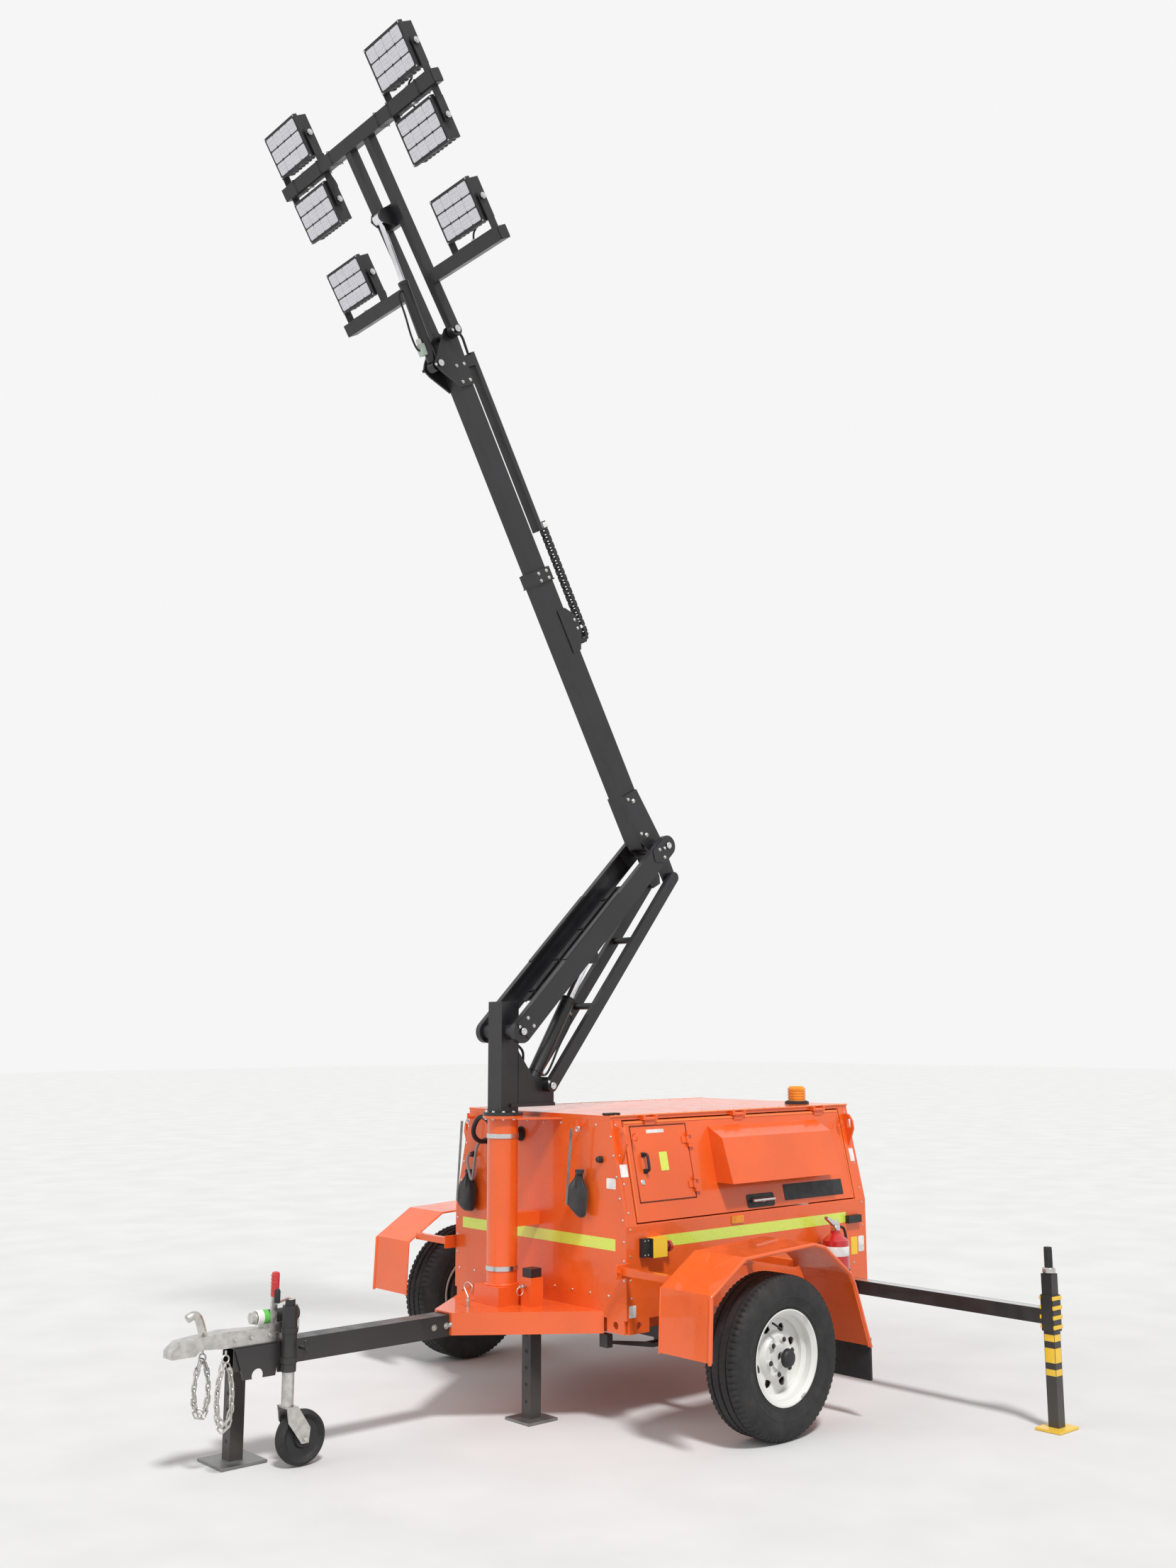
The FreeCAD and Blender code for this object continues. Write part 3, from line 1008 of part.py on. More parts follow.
def fly_boom():
    half, offset = S.fly_side / 2, S.boom_offset
    tube = square_tube("z", (offset, 0), S.fly_inner_end, S.fly_outer_end - S.fly_inner_end, S.fly_side,
                       S.fly_wall)
    head_x, head_z = S.head_pin_front, S.head_pin_along
    tilt_x, tilt_z = S.tilt_pin_front, S.tilt_pin_along
    plate = [(offset - half, head_z - 260), (offset + half, head_z - 260), (tilt_x + 10, tilt_z - 36),
             (tilt_x + 32, tilt_z + 4), (tilt_x + 10, tilt_z + 34), (head_x + 30, head_z + 24),
             (head_x, head_z + 34), (head_x - 32, head_z + 10)]
    plates = [prism("XZ", plate, half, S.head_plate), prism("XZ", plate, -half - S.head_plate, S.head_plate)]
    reach = S.upright_y + S.upright_width / 2 + 8
    pin = rod("y", (head_x, -reach, head_z), 2 * reach, S.pin_radius)
    tilt_pin = rod("y", (tilt_x, -half - 14, tilt_z), 2 * half + 28, S.pin_radius)
    back = offset - half - S.tray_back
    tray = box(back - S.tray_depth, back, -S.tray_width / 2, S.tray_width / 2, S.tray_low, S.tray_high)
    groove = box(back - S.tray_depth - 1, back - 3, 3 - S.tray_width / 2, S.tray_width / 2 - 3,
                 S.tray_low - 1, S.tray_high - 20)
    arm = box(back - 1, offset - half + 1, -S.tray_width / 2, S.tray_width / 2, S.fly_outer_end - 60,
              S.fly_outer_end - 8)
    anchor = box(back - S.tray_depth - S.chain_gap - S.chain_thick, back, -S.chain_width / 2,
                 S.chain_width / 2,
                 S.tray_low, S.tray_low + 40)
    slider = S.boom_side / 2 - S.boom_wall - S.sleeve_gap
    pad = cut(box(offset - slider, offset + slider, -slider, slider, S.fly_inner_end + 2,
                  S.fly_inner_end + 62),
              box(offset - half + 1, offset + half - 1, 1 - half, half - 1, S.fly_inner_end,
                  S.fly_inner_end + 70))
    node("fly_boom", fuse(tube, pad, plates, pin, tilt_pin, cut(tray, groove), arm, anchor), at=ELBOW,
         lean=S.boom_lean)


def energy_chain():
    """The chain that carries the lamp cables: two straight runs of links joined by a bend."""
    back = S.boom_offset - S.fly_side / 2 - S.tray_back - S.tray_depth
    outer_x = back - S.chain_thick / 2 - S.chain_gap
    inner_x = S.boom_offset - S.boom_side / 2 - S.chain_stand_off
    half, width, low = S.chain_thick / 2, S.chain_width, S.chain_low
    middle, radius = (outer_x + inner_x) / 2, (inner_x - outer_x) / 2
    top = S.tray_low - 0.3
    outer = box(outer_x - half, outer_x + half, -width / 2, width / 2, low, top)
    inner = box(inner_x - half, inner_x + half, -width / 2, width / 2, low, S.stay_low - 0.3)
    bend = cut(rod("y", (middle, -width / 2, low), width, radius + half),
               rod("y", (middle, -width / 2 - 1, low), width + 2, radius - half),
               box(outer_x - 2 * half, inner_x + 2 * half, -width, width, low, low + 2 * radius))
    notches = []
    count = int(float(top - low) // SIZES["chain_pitch"])
    for n in range(1, count + 1):
        z = low + n * S.chain_pitch
        for x in (outer_x - half - 1, outer_x + half - S.chain_notch):
            notches.append(box(x, x + S.chain_notch + 1, -width, width, z - 2, z + 2))
    node("energy_chain", cut(fuse(outer, inner, bend), notches), at=ELBOW, lean=S.boom_lean)


def light_frame():
    half_w, half_d = S.upright_width / 2, S.upright_depth / 2
    bar = S.bar_square / 2
    top_low = S.top_bar_height - bar
    pieces = []
    for side in (1, -1):
        y = side * S.upright_y
        pieces.append(box(-half_d, half_d, y - half_w, y + half_w, 0.0, top_low + 1))
        pieces.append(rod("y", (0.0, y - half_w, 0.0), S.upright_width, half_d + 6))
        inner = side * (S.upright_y + half_w - 1)
        outer = side * S.bar_half
        pieces.append(box(-bar, bar, min(inner, outer), max(inner, outer), S.low_bar_height - bar,
                          S.low_bar_height + bar))
    pieces.append(box(-bar, bar, -S.bar_half, S.bar_half, top_low, top_low + S.bar_square))
    inner_gap = S.upright_y - half_w
    pieces.append(box(-half_d, half_d, -inner_gap - 1, inner_gap + 1, S.tilt_eye_height - 60,
                      S.tilt_eye_height + 40))
    lug = [(half_d - 1, S.tilt_eye_height - 60), (S.tilt_eye_front + 10, S.tilt_eye_height - 28),
           (S.tilt_eye_front + 30, S.tilt_eye_height), (S.tilt_eye_front + 10, S.tilt_eye_height + 30),
           (half_d - 1, S.tilt_eye_height + 40)]
    for y0 in (26, -36):
        pieces.append(prism("XZ", lug, y0, 10))
    holes = [rod("y", (0.0, -150.0, 0.0), 300, S.pin_radius + S.fit)]
    node("light_frame", cut(fuse(pieces), holes), at=HEAD, lean=S.frame_lean)


def comb(middle, half, back, front):
    """The outline of a finned housing seen from above: a block whose back is cut into upright fins."""
    pitch = 2 * half / (2 * S.fin_count - 1)
    outline = [(front, middle + half), (front, middle - half)]
    for n in range(SIZES["fin_count"]):
        low = middle - half + 2 * n * pitch
        outline += [(back, low), (back, low + pitch)]
        if n < SIZES["fin_count"] - 1:
            outline += [(back + S.fin_depth, low + pitch), (back + S.fin_depth, low + 2 * pitch)]
    return outline


def hexagon(x, z, across):
    """The outline of a hexagon across its flats."""
    radius = across / math.sqrt(3)
    return [(x + radius * math.cos(math.radians(60 * k)), z + radius * math.sin(math.radians(60 * k)))
            for k in range(6)]


def lamps():
    """Six flood lamps: a finned housing each, on a flat yoke bolted to the frame's bars."""
    pieces = []
    width, height = S.lamp_width / 2, S.lamp_height / 2
    front, back = S.lens_front, S.lens_front - S.lamp_depth
    bar = S.bar_square / 2
    rows = (
        (S.lamp_upper, S.top_bar_height + bar + 0.3, 1),
        (S.lamp_middle, S.top_bar_height - bar - 0.3, -1),
        (S.lamp_lower, S.low_bar_height + bar + 0.3, 1),
    )
    for middle, seat, up in rows:
        for side in (1, -1):
            y = side * S.lamp_y
            z0, z1 = middle - height, middle + height
            pieces.append(box(front - S.lamp_rim, front, y - width, y + width, z0, z1))
            pieces.append(prism("XY", comb(y, width - 6, back, front - S.lamp_rim + 1), z0 + 8,
                                S.lamp_height - 16))
            pieces.append(box(back - 14, back + 20, y - 55, y + 55, z0 + 40, z1 - 40))
            foot_z = min(seat, seat + up * S.yoke_sheet)
            arm_y = width + S.yoke_gap
            foot = box(-S.yoke_width / 2, S.yoke_width / 2, y - arm_y - S.yoke_sheet,
                       y + arm_y + S.yoke_sheet,
                       foot_z, foot_z + S.yoke_sheet)
            far = middle + up * 22
            for edge in (-1, 1):
                y0 = y + edge * arm_y - (S.yoke_sheet if edge < 0 else 0)
                pieces.append(box(-S.yoke_width / 2, S.yoke_width / 2, y0, y0 + S.yoke_sheet,
                                  min(foot_z, far), max(foot_z + S.yoke_sheet, far)))
                reach = S.yoke_gap + S.yoke_sheet + S.pivot_head
                b0 = y + edge * (width - 8) - (reach + 8 if edge < 0 else 0)
                pieces.append(prism("XZ", hexagon(0, middle, S.pivot_across), b0, reach + 8))
            pieces.append(foot)
    node("lamps", fuse(pieces), at=HEAD, lean=S.frame_lean)


wheels()
axle()
chassis()
drawbar()
coupling()
stands()
canopy()
doors()
mudguards()
fittings()
bags()
mast_post()
turret()
lower_boom()
tension_link()
cylinder("lift", LIFT_FOOT, LIFT_EYE, S.lift_barrel_radius, S.lift_rod_radius, S.lift_barrel_length,
         S.lift_overlap, S.lift_eye_width)
upper_boom()
fly_boom()
energy_chain()
light_frame()
lamps()
cylinder("tilt", TILT_FOOT, TILT_EYE, S.tilt_barrel_radius, S.tilt_rod_radius, S.tilt_barrel_length,
         S.tilt_overlap, S.tilt_eye_width)

doc.recompute()
for thing in doc.Objects:
    faults = [word for word in thing.State if word in ("Invalid", "Error")]
    if faults:
        raise RuntimeError("%s failed: %s" % (thing.Label, thing.State))
for thing in NODES:
    if thing.Shape.isNull() or not thing.Shape.isValid():
        raise RuntimeError("%s has no valid shape" % thing.Label)

os.makedirs("parts", exist_ok=True)
for thing in NODES:
    thing.Shape.exportStep("parts/%s.step" % thing.Label)
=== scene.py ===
"""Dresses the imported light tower: materials, fittings, hoses, chains, light and camera. Metres."""
import random

import bmesh
import bpy
from math import atan2, copysign, cos, degrees, hypot, pi, radians, sin
from mathutils import Matrix, Vector


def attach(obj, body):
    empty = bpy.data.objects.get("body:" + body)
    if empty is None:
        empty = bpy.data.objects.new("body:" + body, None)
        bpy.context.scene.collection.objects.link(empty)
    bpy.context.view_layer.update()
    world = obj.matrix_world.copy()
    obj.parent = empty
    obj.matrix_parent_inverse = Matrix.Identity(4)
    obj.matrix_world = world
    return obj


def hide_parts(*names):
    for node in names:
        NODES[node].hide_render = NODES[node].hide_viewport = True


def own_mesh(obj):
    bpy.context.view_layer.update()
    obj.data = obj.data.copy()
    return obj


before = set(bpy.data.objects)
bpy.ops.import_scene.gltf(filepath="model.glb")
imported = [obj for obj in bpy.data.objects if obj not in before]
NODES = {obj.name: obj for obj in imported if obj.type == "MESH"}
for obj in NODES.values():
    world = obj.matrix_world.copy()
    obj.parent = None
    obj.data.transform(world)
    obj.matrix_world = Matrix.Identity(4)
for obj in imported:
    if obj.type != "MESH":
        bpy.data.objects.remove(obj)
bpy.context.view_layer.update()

MM = 0.001
AHEAD, ACROSS, UP = Vector((1, 0, 0)), Vector((0, 1, 0)), Vector((0, 0, 1))
SIDES = (("left", 1), ("right", -1))


# Shader building blocks

class Shader:
    """A material with a few procedural helpers round its Principled shader."""

    def __init__(self, name):
        self.material = bpy.data.materials.new(name)
        self.material.use_nodes = True
        self.tree = self.material.node_tree
        self.main = self.tree.nodes["Principled BSDF"]
        self.place = self.node("ShaderNodeTexCoord").outputs["Object"]

    def node(self, kind, **values):
        made = self.tree.nodes.new(kind)
        for key, value in values.items():
            setattr(made, key, value)
        return made

    def link(self, source, target):
        self.tree.links.new(source, target)

    def noise(self, scale, detail=4.0, stretch=None):
        made = self.node("ShaderNodeTexNoise")
        made.inputs["Scale"].default_value = scale
        made.inputs["Detail"].default_value = detail
        source = self.place
        if stretch:
            mapping = self.node("ShaderNodeMapping")
            mapping.inputs["Scale"].default_value = stretch
            self.link(self.place, mapping.inputs["Vector"])
            source = mapping.outputs["Vector"]
        self.link(source, made.inputs["Vector"])
        return made.outputs["Fac"]

    def ramp(self, source, low, high, start=0.35, end=0.65):
        made = self.node("ShaderNodeValToRGB")
        first, last = made.color_ramp.elements
        first.position, last.position = start, end
        first.color, last.color = (*low, 1), (*high, 1)
        self.link(source, made.inputs["Fac"])
        return made.outputs["Color"]

    def grey(self, source, low, high, start=0.35, end=0.65):
        return self.ramp(source, (low,) * 3, (high,) * 3, start, end)

    def fill(self, socket, value):
        """Gives a socket a link, a colour or a number."""
        if isinstance(value, bpy.types.NodeSocket):
            self.link(value, socket)
        else:
            socket.default_value = (*value, 1) if isinstance(value, tuple) else value

    def mix(self, factor, a, b):
        made = self.node("ShaderNodeMix", data_type="RGBA")
        for place, value in ((0, factor), (6, a), (7, b)):
            self.fill(made.inputs[place], value)
        return made.outputs[2]

    def calc(self, operation, a, b=0.0):
        made = self.node("ShaderNodeMath", operation=operation)
        self.fill(made.inputs[0], a)
        self.fill(made.inputs[1], b)
        return made.outputs[0]

    def height(self):
        made = self.node("ShaderNodeSeparateXYZ")
        self.link(self.place, made.inputs[0])
        return made.outputs[2]

    def bump(self, height, depth, strength=0.4):
        made = self.node("ShaderNodeBump")
        made.inputs["Strength"].default_value = strength
        made.inputs["Distance"].default_value = depth
        self.link(height, made.inputs["Height"])
        self.link(made.outputs["Normal"], self.main.inputs["Normal"])

    def set(self, **values):
        names = {"colour": "Base Color", "rough": "Roughness", "metal": "Metallic", "coat": "Coat Weight"}
        for key, value in values.items():
            self.fill(self.main.inputs[names[key]], value)
        return self.material


def shade(colour, factor):
    return tuple(c * factor for c in colour)


def paint(name, colour, rough=0.35, wear=0.08, coat=0.3, peel=0.0006):
    """Sprayed paint: fine orange peel, faint cloudiness and dust low down."""
    s = Shader(name)
    clouds = s.ramp(s.noise(3.5, 6), shade(colour, 1 - wear), shade(colour, 1 + wear * 0.5))
    specks = s.grey(s.noise(240, 2), 0.0, 1.0, 0.68, 0.74)
    dust = s.calc("MULTIPLY", s.calc("SUBTRACT", 1.0, s.calc("MULTIPLY", s.height(), 1.6)), 0.12)
    dusty = s.mix(s.calc("MAXIMUM", dust, 0.0), clouds, (0.36, 0.31, 0.25))
    s.bump(s.noise(900, 2), peel, 0.12)
    return s.set(colour=s.mix(s.calc("MULTIPLY", specks, 0.12), dusty, shade(colour, 0.6)),
                 rough=s.grey(s.noise(14, 5), rough - 0.06, rough + 0.1), coat=coat)


def metal(name, colour, rough=0.35, brushed=False, spangle=False):
    """Zinc plate, brushed steel or polished chrome."""
    s = Shader(name)
    grain = s.noise(90, 3, (1, 1, 18)) if brushed else s.noise(40 if spangle else 12, 4)
    s.bump(grain, 0.0004, 0.15)
    return s.set(colour=s.ramp(grain, shade(colour, 0.82), shade(colour, 1.08)),
                 rough=s.grey(grain, rough - 0.08, rough + 0.12), metal=1.0)


def plastic(name, colour, rough=0.5, grain=600):
    s = Shader(name)
    s.bump(s.noise(grain, 2), 0.0004, 0.25)
    return s.set(colour=s.ramp(s.noise(20, 5), shade(colour, 0.85), shade(colour, 1.15)),
                 rough=s.grey(s.noise(30, 4), rough - 0.08, rough + 0.1))


orange = paint("orange_paint", (0.8, 0.112, 0.012), rough=0.3, coat=0.5)
black = paint("black_paint", (0.012, 0.012, 0.014), rough=0.42, wear=0.25, coat=0.15)
white = paint("white_paint", (0.78, 0.78, 0.75), rough=0.35, wear=0.1)
red = paint("red_paint", (0.55, 0.012, 0.014), rough=0.25, coat=0.6)
yellow = paint("yellow_paint", (0.9, 0.56, 0.02), rough=0.4)
zinc = metal("zinc_plate", (0.6, 0.59, 0.56), 0.38, spangle=True)
steel = metal("bright_steel", (0.66, 0.66, 0.66), 0.25, brushed=True)
chrome = metal("hard_chrome", (0.8, 0.8, 0.82), 0.1)
rubber = plastic("black_rubber", (0.018, 0.018, 0.019), 0.75, 300)
dark = plastic("dark_plastic", (0.016, 0.016, 0.018), 0.5)
grey = plastic("grey_plastic", (0.25, 0.25, 0.26), 0.5)
amber = plastic("amber_lens", (0.85, 0.3, 0.01), 0.15, 60)
label = plastic("blank_label", (0.75, 0.75, 0.73), 0.45)
# A lighter copy of the orange paint: a painted highlight for thin edges that catch the light.
orange_highlight = paint("orange_edge_highlight", (0.86, 0.2, 0.03), rough=0.3, coat=0.5)
green = plastic("green_plastic", (0.1, 0.46, 0.07), 0.4)
mint = plastic("mint_valve", (0.48, 0.58, 0.5), 0.4)
worn = metal("worn_plate", (0.3, 0.3, 0.29), 0.5)
iron = metal("dark_iron", (0.1, 0.095, 0.09), 0.55)


def tyre_finish():
    """Rubber with a matt bloom and dust in its low places."""
    s = Shader("tyre_rubber")
    s.bump(s.noise(420, 3), 0.0003, 0.3)
    dust = s.grey(s.noise(9, 6), 0.0, 0.22, 0.45, 0.75)
    colour = s.mix(dust, (0.017, 0.017, 0.018), (0.085, 0.078, 0.068))
    return s.set(colour=colour, rough=s.grey(s.noise(25, 4), 0.72, 0.88))


def cloth_finish(name, colour, weave=1500.0):
    """Woven cloth: two crossed sets of threads with worn, paler high spots."""
    s = Shader(name)
    threads = [s.node("ShaderNodeTexWave", wave_type="BANDS", bands_direction=d) for d in ("Y", "Z")]
    for made in threads:
        made.inputs["Scale"].default_value = weave / 6
        s.link(s.place, made.inputs["Vector"])
    woven = s.calc("ADD", threads[0].outputs["Fac"], threads[1].outputs["Fac"])
    s.bump(woven, 0.0004, 0.5)
    s.main.inputs["Sheen Weight"].default_value = 0.25
    return s.set(colour=s.mix(s.grey(s.noise(16, 5), 0.0, 0.6), shade(colour, 0.75), shade(colour, 1.7)), rough=0.9)


def tape_finish():
    """Prismatic reflective tape: bright cells with thin borders."""
    s = Shader("reflective_tape")
    cells = s.node("ShaderNodeTexVoronoi", feature="DISTANCE_TO_EDGE")
    cells.inputs["Scale"].default_value = 190
    s.link(s.place, cells.inputs["Vector"])
    edge = s.grey(cells.outputs["Distance"], 0.0, 1.0, 0.02, 0.1)
    s.bump(cells.outputs["Distance"], 0.0004, 0.3)
    return s.set(colour=s.mix(edge, (0.55, 0.62, 0.08), (0.72, 0.86, 0.1)), rough=0.22, coat=0.6)


def milky(name, grain, low, high, rough, coat):
    """A lamp's pale, slightly milky plastic."""
    s = Shader(name)
    return s.set(colour=s.ramp(s.noise(*grain), low, high), rough=rough, coat=coat)


tyre_rubber = tyre_finish()
cloth = cloth_finish("bag_cloth", (0.022, 0.023, 0.025))
webbing = cloth_finish("webbing", (0.02, 0.02, 0.02), 2400.0)
strap_cloth = cloth_finish("strap_cloth", (0.17, 0.17, 0.16), 2400.0)
tape_yellow = tape_finish()
lens = milky("lamp_lens", (30, 3), (0.62, 0.62, 0.68), (0.7, 0.7, 0.76), 0.12, 0.8)
optic = milky("lamp_optic", (120, 2), (0.72, 0.72, 0.76), (0.8, 0.8, 0.84), 0.08, 1.0)


def dress(material, *names):
    for name in names:
        mesh = NODES[name].data
        mesh.materials.clear()
        mesh.materials.append(material)


dress(orange, "front_panel", "rear_panel", "left_side_panel", "right_side_panel", "roof", "left_door",
      "right_door", "control_hatch", "mudguards", "mast_post", "chassis_frame", "floor_tray")
dress(black, "axle_suspension", "drawbar", "front_stand", "middle_leg", "turret", "lower_boom", "tension_link",
      "upper_boom", "fly_boom", "light_frame", "lift_barrel", "tilt_barrel")
for name, _ in SIDES:
    dress(black, name + "_outrigger_leg", name + "_outrigger_arm")
dress(white, "left_rim", "right_rim")
dress(red, "fire_extinguisher")
dress(zinc, "coupling", "jockey_leg", "jockey_fork")
dress(chrome, "lift_rod", "tilt_rod")
dress(rubber, "left_tyre", "right_tyre", "jockey_wheel")
dress(dark, "energy_chain", "control_board", "generator_set", "lamps", "lights_and_switches", "plug_bags")


# Mesh building blocks: each shape is (points, faces)

def V(x, y, z):
    return Vector((x, y, z))


def turns(count, shift=0.0):
    """Angles spread evenly over a full turn, in radians."""
    return [2 * pi * (n + shift) / count for n in range(count)]


def polar(radius, angle, z):
    return V(radius * cos(angle), radius * sin(angle), z)


def along(matrix, points):
    """Points of a matrix's frame as places in the model."""
    return [matrix @ Vector(p) for p in points]


def lattice(rows, sides):
    """The faces between rings of points, each ring closed."""
    return [[a, b, b + sides, a + sides] for row in range(rows - 1)
            for a, b in ((row * sides + n, row * sides + (n + 1) % sides) for n in range(sides))]


def moved(shape, matrix):
    points, faces = shape
    return [matrix @ Vector(p) for p in points], faces


def block(low, high, bevel=0.0):
    bm = bmesh.new()
    bmesh.ops.create_cube(bm, size=1.0)
    middle = (Vector(low) + Vector(high)) / 2
    size = Vector(high) - Vector(low)
    for v in bm.verts:
        v.co = Vector(v.co[i] * size[i] + middle[i] for i in range(3))
    if bevel:
        bmesh.ops.bevel(bm, geom=bm.edges[:], offset=bevel, segments=2, affect="EDGES", profile=0.6)
    return taken(bm)


def taken(bm):
    bm.verts.ensure_lookup_table()
    shape = [v.co.copy() for v in bm.verts], [[v.index for v in f.verts] for f in bm.faces]
    bm.free()
    return shape


def facing(start, axis, across=None):
    """A matrix at start whose Z is axis and whose X is as near to across as it can be."""
    z = Vector(axis).normalized()
    x = Vector(across) if across is not None else (AHEAD if abs(z.x) < 0.9 else ACROSS)
    x = (x - z * x.dot(z)).normalized()
    return Matrix.Translation(start) @ Matrix((x, z.cross(x), z)).transposed().to_4x4()


def turned(start, axis, profile, sides=32, hollow=False):
    """A lathed form; the profile gives (radius, height along the axis) and closes on itself if hollow."""
    points = [polar(radius, turn, height) for radius, height in profile for turn in turns(sides)]
    faces, last = lattice(len(profile), sides), (len(profile) - 1) * sides
    if hollow:
        faces += [[last + n, last + (n + 1) % sides, (n + 1) % sides, n] for n in range(sides)]
    else:
        if profile[0][0] > 0:
            faces.append(list(range(sides))[::-1])
        if profile[-1][0] > 0:
            faces.append([last + n for n in range(sides)])
    return moved((points, faces), facing(start, axis))


def band(start, axis, inner, outer, height, sides, hollow=False):
    """A flat strap round a bar."""
    edge = 0.001
    rows = [(inner, 0), (outer, edge), (outer, height - edge), (inner, height)]
    return turned(start, axis, rows, sides, hollow)


def bar(a, b, radius, sides=20, edge=0.0):
    """A rod from a to b, its ends bevelled by edge."""
    a, b = Vector(a), Vector(b)
    length = (b - a).length
    profile = [(radius, edge), (radius, length - edge)]
    if edge:
        profile = [(radius - edge, 0)] + profile + [(radius - edge, length)]
    return turned(a, b - a, profile, sides)


def plate(outline, matrix, thickness, bevel=0.0):
    """A flat plate: its outline lies in the matrix's XY plane and is raised along its Z."""
    bm = bmesh.new()
    face = bm.faces.new([bm.verts.new((u, v, 0)) for u, v in outline])
    raised = bmesh.ops.extrude_face_region(bm, geom=[face])
    for item in raised["geom"]:
        if isinstance(item, bmesh.types.BMVert):
            item.co.z += thickness
    bmesh.ops.recalc_face_normals(bm, faces=bm.faces[:])
    if bevel:
        bmesh.ops.bevel(bm, geom=bm.edges[:], offset=bevel, segments=1, affect="EDGES")
    return moved(taken(bm), matrix)


def smooth_path(points, steps=8):
    """Points along a Catmull-Rom curve through the given ones."""
    points = [Vector(p) for p in points]
    ends = [points[0] * 2 - points[1]] + points + [points[-1] * 2 - points[-2]]
    path = []
    for n in range(1, len(ends) - 2):
        a, b, c, d = ends[n - 1:n + 3]
        for k in range(steps):
            t = k / steps
            path.append(0.5 * ((2 * b) + (c - a) * t + (2 * a - 5 * b + 4 * c - d) * t * t
                               + (3 * b - a - 3 * c + d) * t ** 3))
    return path + [points[-1]]


def pipe(path, radius, sides=12, closed=False):
    """A round tube along a path, with its frame carried from point to point."""
    path = [Vector(p) for p in path]
    count, points, x = len(path), [], None
    for n, here in enumerate(path):
        ahead = path[(n + 1) % count] if closed or n + 1 < count else here
        behind = path[n - 1] if closed or n else here
        z = (ahead - behind).normalized()
        if x is None:
            x = facing((0, 0, 0), z).col[0].to_3d()
        x = (x - z * x.dot(z)).normalized()
        y = z.cross(x)
        points += [here + (x * cos(turn) + y * sin(turn)) * radius for turn in turns(sides)]
    if closed:
        return points, [[n % len(points) for n in face] for face in lattice(count + 1, sides)]
    return points, lattice(count, sides) + [list(range(sides))[::-1], [(count - 1) * sides + k for k in range(sides)]]


def arc(centre, x, y, radius, start, end, steps=12):
    """Points on an arc in the plane of x and y, from start to end in degrees."""
    centre, x, y = Vector(centre), Vector(x).normalized(), Vector(y).normalized()
    angles = [radians(start + (end - start) * n / steps) for n in range(steps + 1)]
    return [centre + (x * cos(a) + y * sin(a)) * radius for a in angles]


def bolt(place, axis, size, height):
    """A hexagon head with a chamfered top on its washer."""
    rows = [(size * 0.99, 0), (size, height * 0.8), (size * 0.86, height)]
    return [turned(Vector(place) + Vector(axis).normalized() * 0.0012, axis, rows, 6),
            turned(place, axis, [(size * 1.35, 0), (size * 1.35, 0.0015)], 20)]


def dome(place, axis, radius):
    """A low round screw head."""
    return turned(place, axis, [(radius, 0), (radius * 0.92, radius * 0.3), (radius * 0.55, radius * 0.52),
                                (0, radius * 0.58)], 14)


def gathered(*shapes):
    """All the shapes in nested lists as one."""
    points, faces = [], []

    def add(shape):
        if isinstance(shape, tuple):
            first = len(points)
            points.extend(shape[0])
            faces.extend([[first + n for n in face] for face in shape[1]])
        else:
            for part in shape:
                add(part)

    for shape in shapes:
        add(shape)
    return points, faces


def piece(name, body, material, *shapes, sharp=38, stands_for=()):
    """One visible piece on a body, shaded smooth with its sharp edges kept."""
    points, faces = gathered(*shapes)
    mesh = bpy.data.meshes.new(name)
    mesh.from_pydata(points, [], faces)
    bm = bmesh.new()
    bm.from_mesh(mesh)
    bmesh.ops.recalc_face_normals(bm, faces=bm.faces[:])
    for face in bm.faces:
        face.smooth = True
    for edge in bm.edges:
        if len(edge.link_faces) != 2 or edge.calc_face_angle(0) > radians(sharp):
            edge.smooth = False
    bm.to_mesh(mesh)
    bm.free()
    made = bpy.data.objects.new(name, mesh)
    mesh.materials.append(material)
    bpy.context.scene.collection.objects.link(made)
    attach(made, body)
    if stands_for:
        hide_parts(*stands_for)
    return made


def fixed(name, material, *shapes, **more):
    """A piece on the trailer itself."""
    return piece(name, "trailer", material, *shapes, **more)


# Places, from the source's sizes

def X(place):
    """The model's x in metres of a place in millimetres forward from the axle."""
    return (place - 471) * MM


def leaning(foot, lean):
    """A frame at a pin, its Z leaning forward from upright by lean degrees."""
    return Matrix.Translation(foot) @ Matrix.Rotation(radians(lean), 4, "Y")


def between(foot, eye):
    """A frame from one pin towards another."""
    return leaning(foot, degrees(atan2(eye[0] - foot[0], eye[2] - foot[2])))


ARM = leaning((0.136, 0, 1.68), -45.3)
BOOM = leaning(ARM @ V(0, 0, 1.327), 29)
LINK = between((-0.079, 0, 1.431), BOOM @ V(-0.004, 0, -0.177))
LIFT = between((-0.024, 0, 1.44), ARM @ V(-0.113, 0, 0.618))
HEAD = leaning(BOOM @ V(0.013, 0, 2.738), 32.4)
TILT = between(BOOM @ V(0.15, 0, 2.612), HEAD @ V(0.078, 0, 0.6))
FRONT, REAR, ROOF = X(410), X(-1243), 1.31
# The body's half width up to its kink, and how far its sides lean in from there to the roof
BODY_HALF, KINK, LEAN_IN = 0.615, 0.844, 0.102
SLOPE = V(0, 1, 0.2189).normalized()
HALF_TRACK, WHEEL_HEIGHT = 1.074, 0.333
LOW_SCREWS, JOCKEY_Y, DAMPER_HEIGHT = 0.545, 0.083, 0.5623


def half_width(z):
    """Half of the body's width at a height."""
    return BODY_HALF - LEAN_IN * max(0.0, z - KINK) / (ROOF - KINK)


def skin(x, z, side=1, out=0.0):
    """A point on the body's side skin."""
    return V(x, side * (half_width(z) + out), z)


def outward(z, side):
    """The side skin's direction outward at a height."""
    return V(0, side, 0) if z <= KINK else V(0, side * SLOPE.y, SLOPE.z)


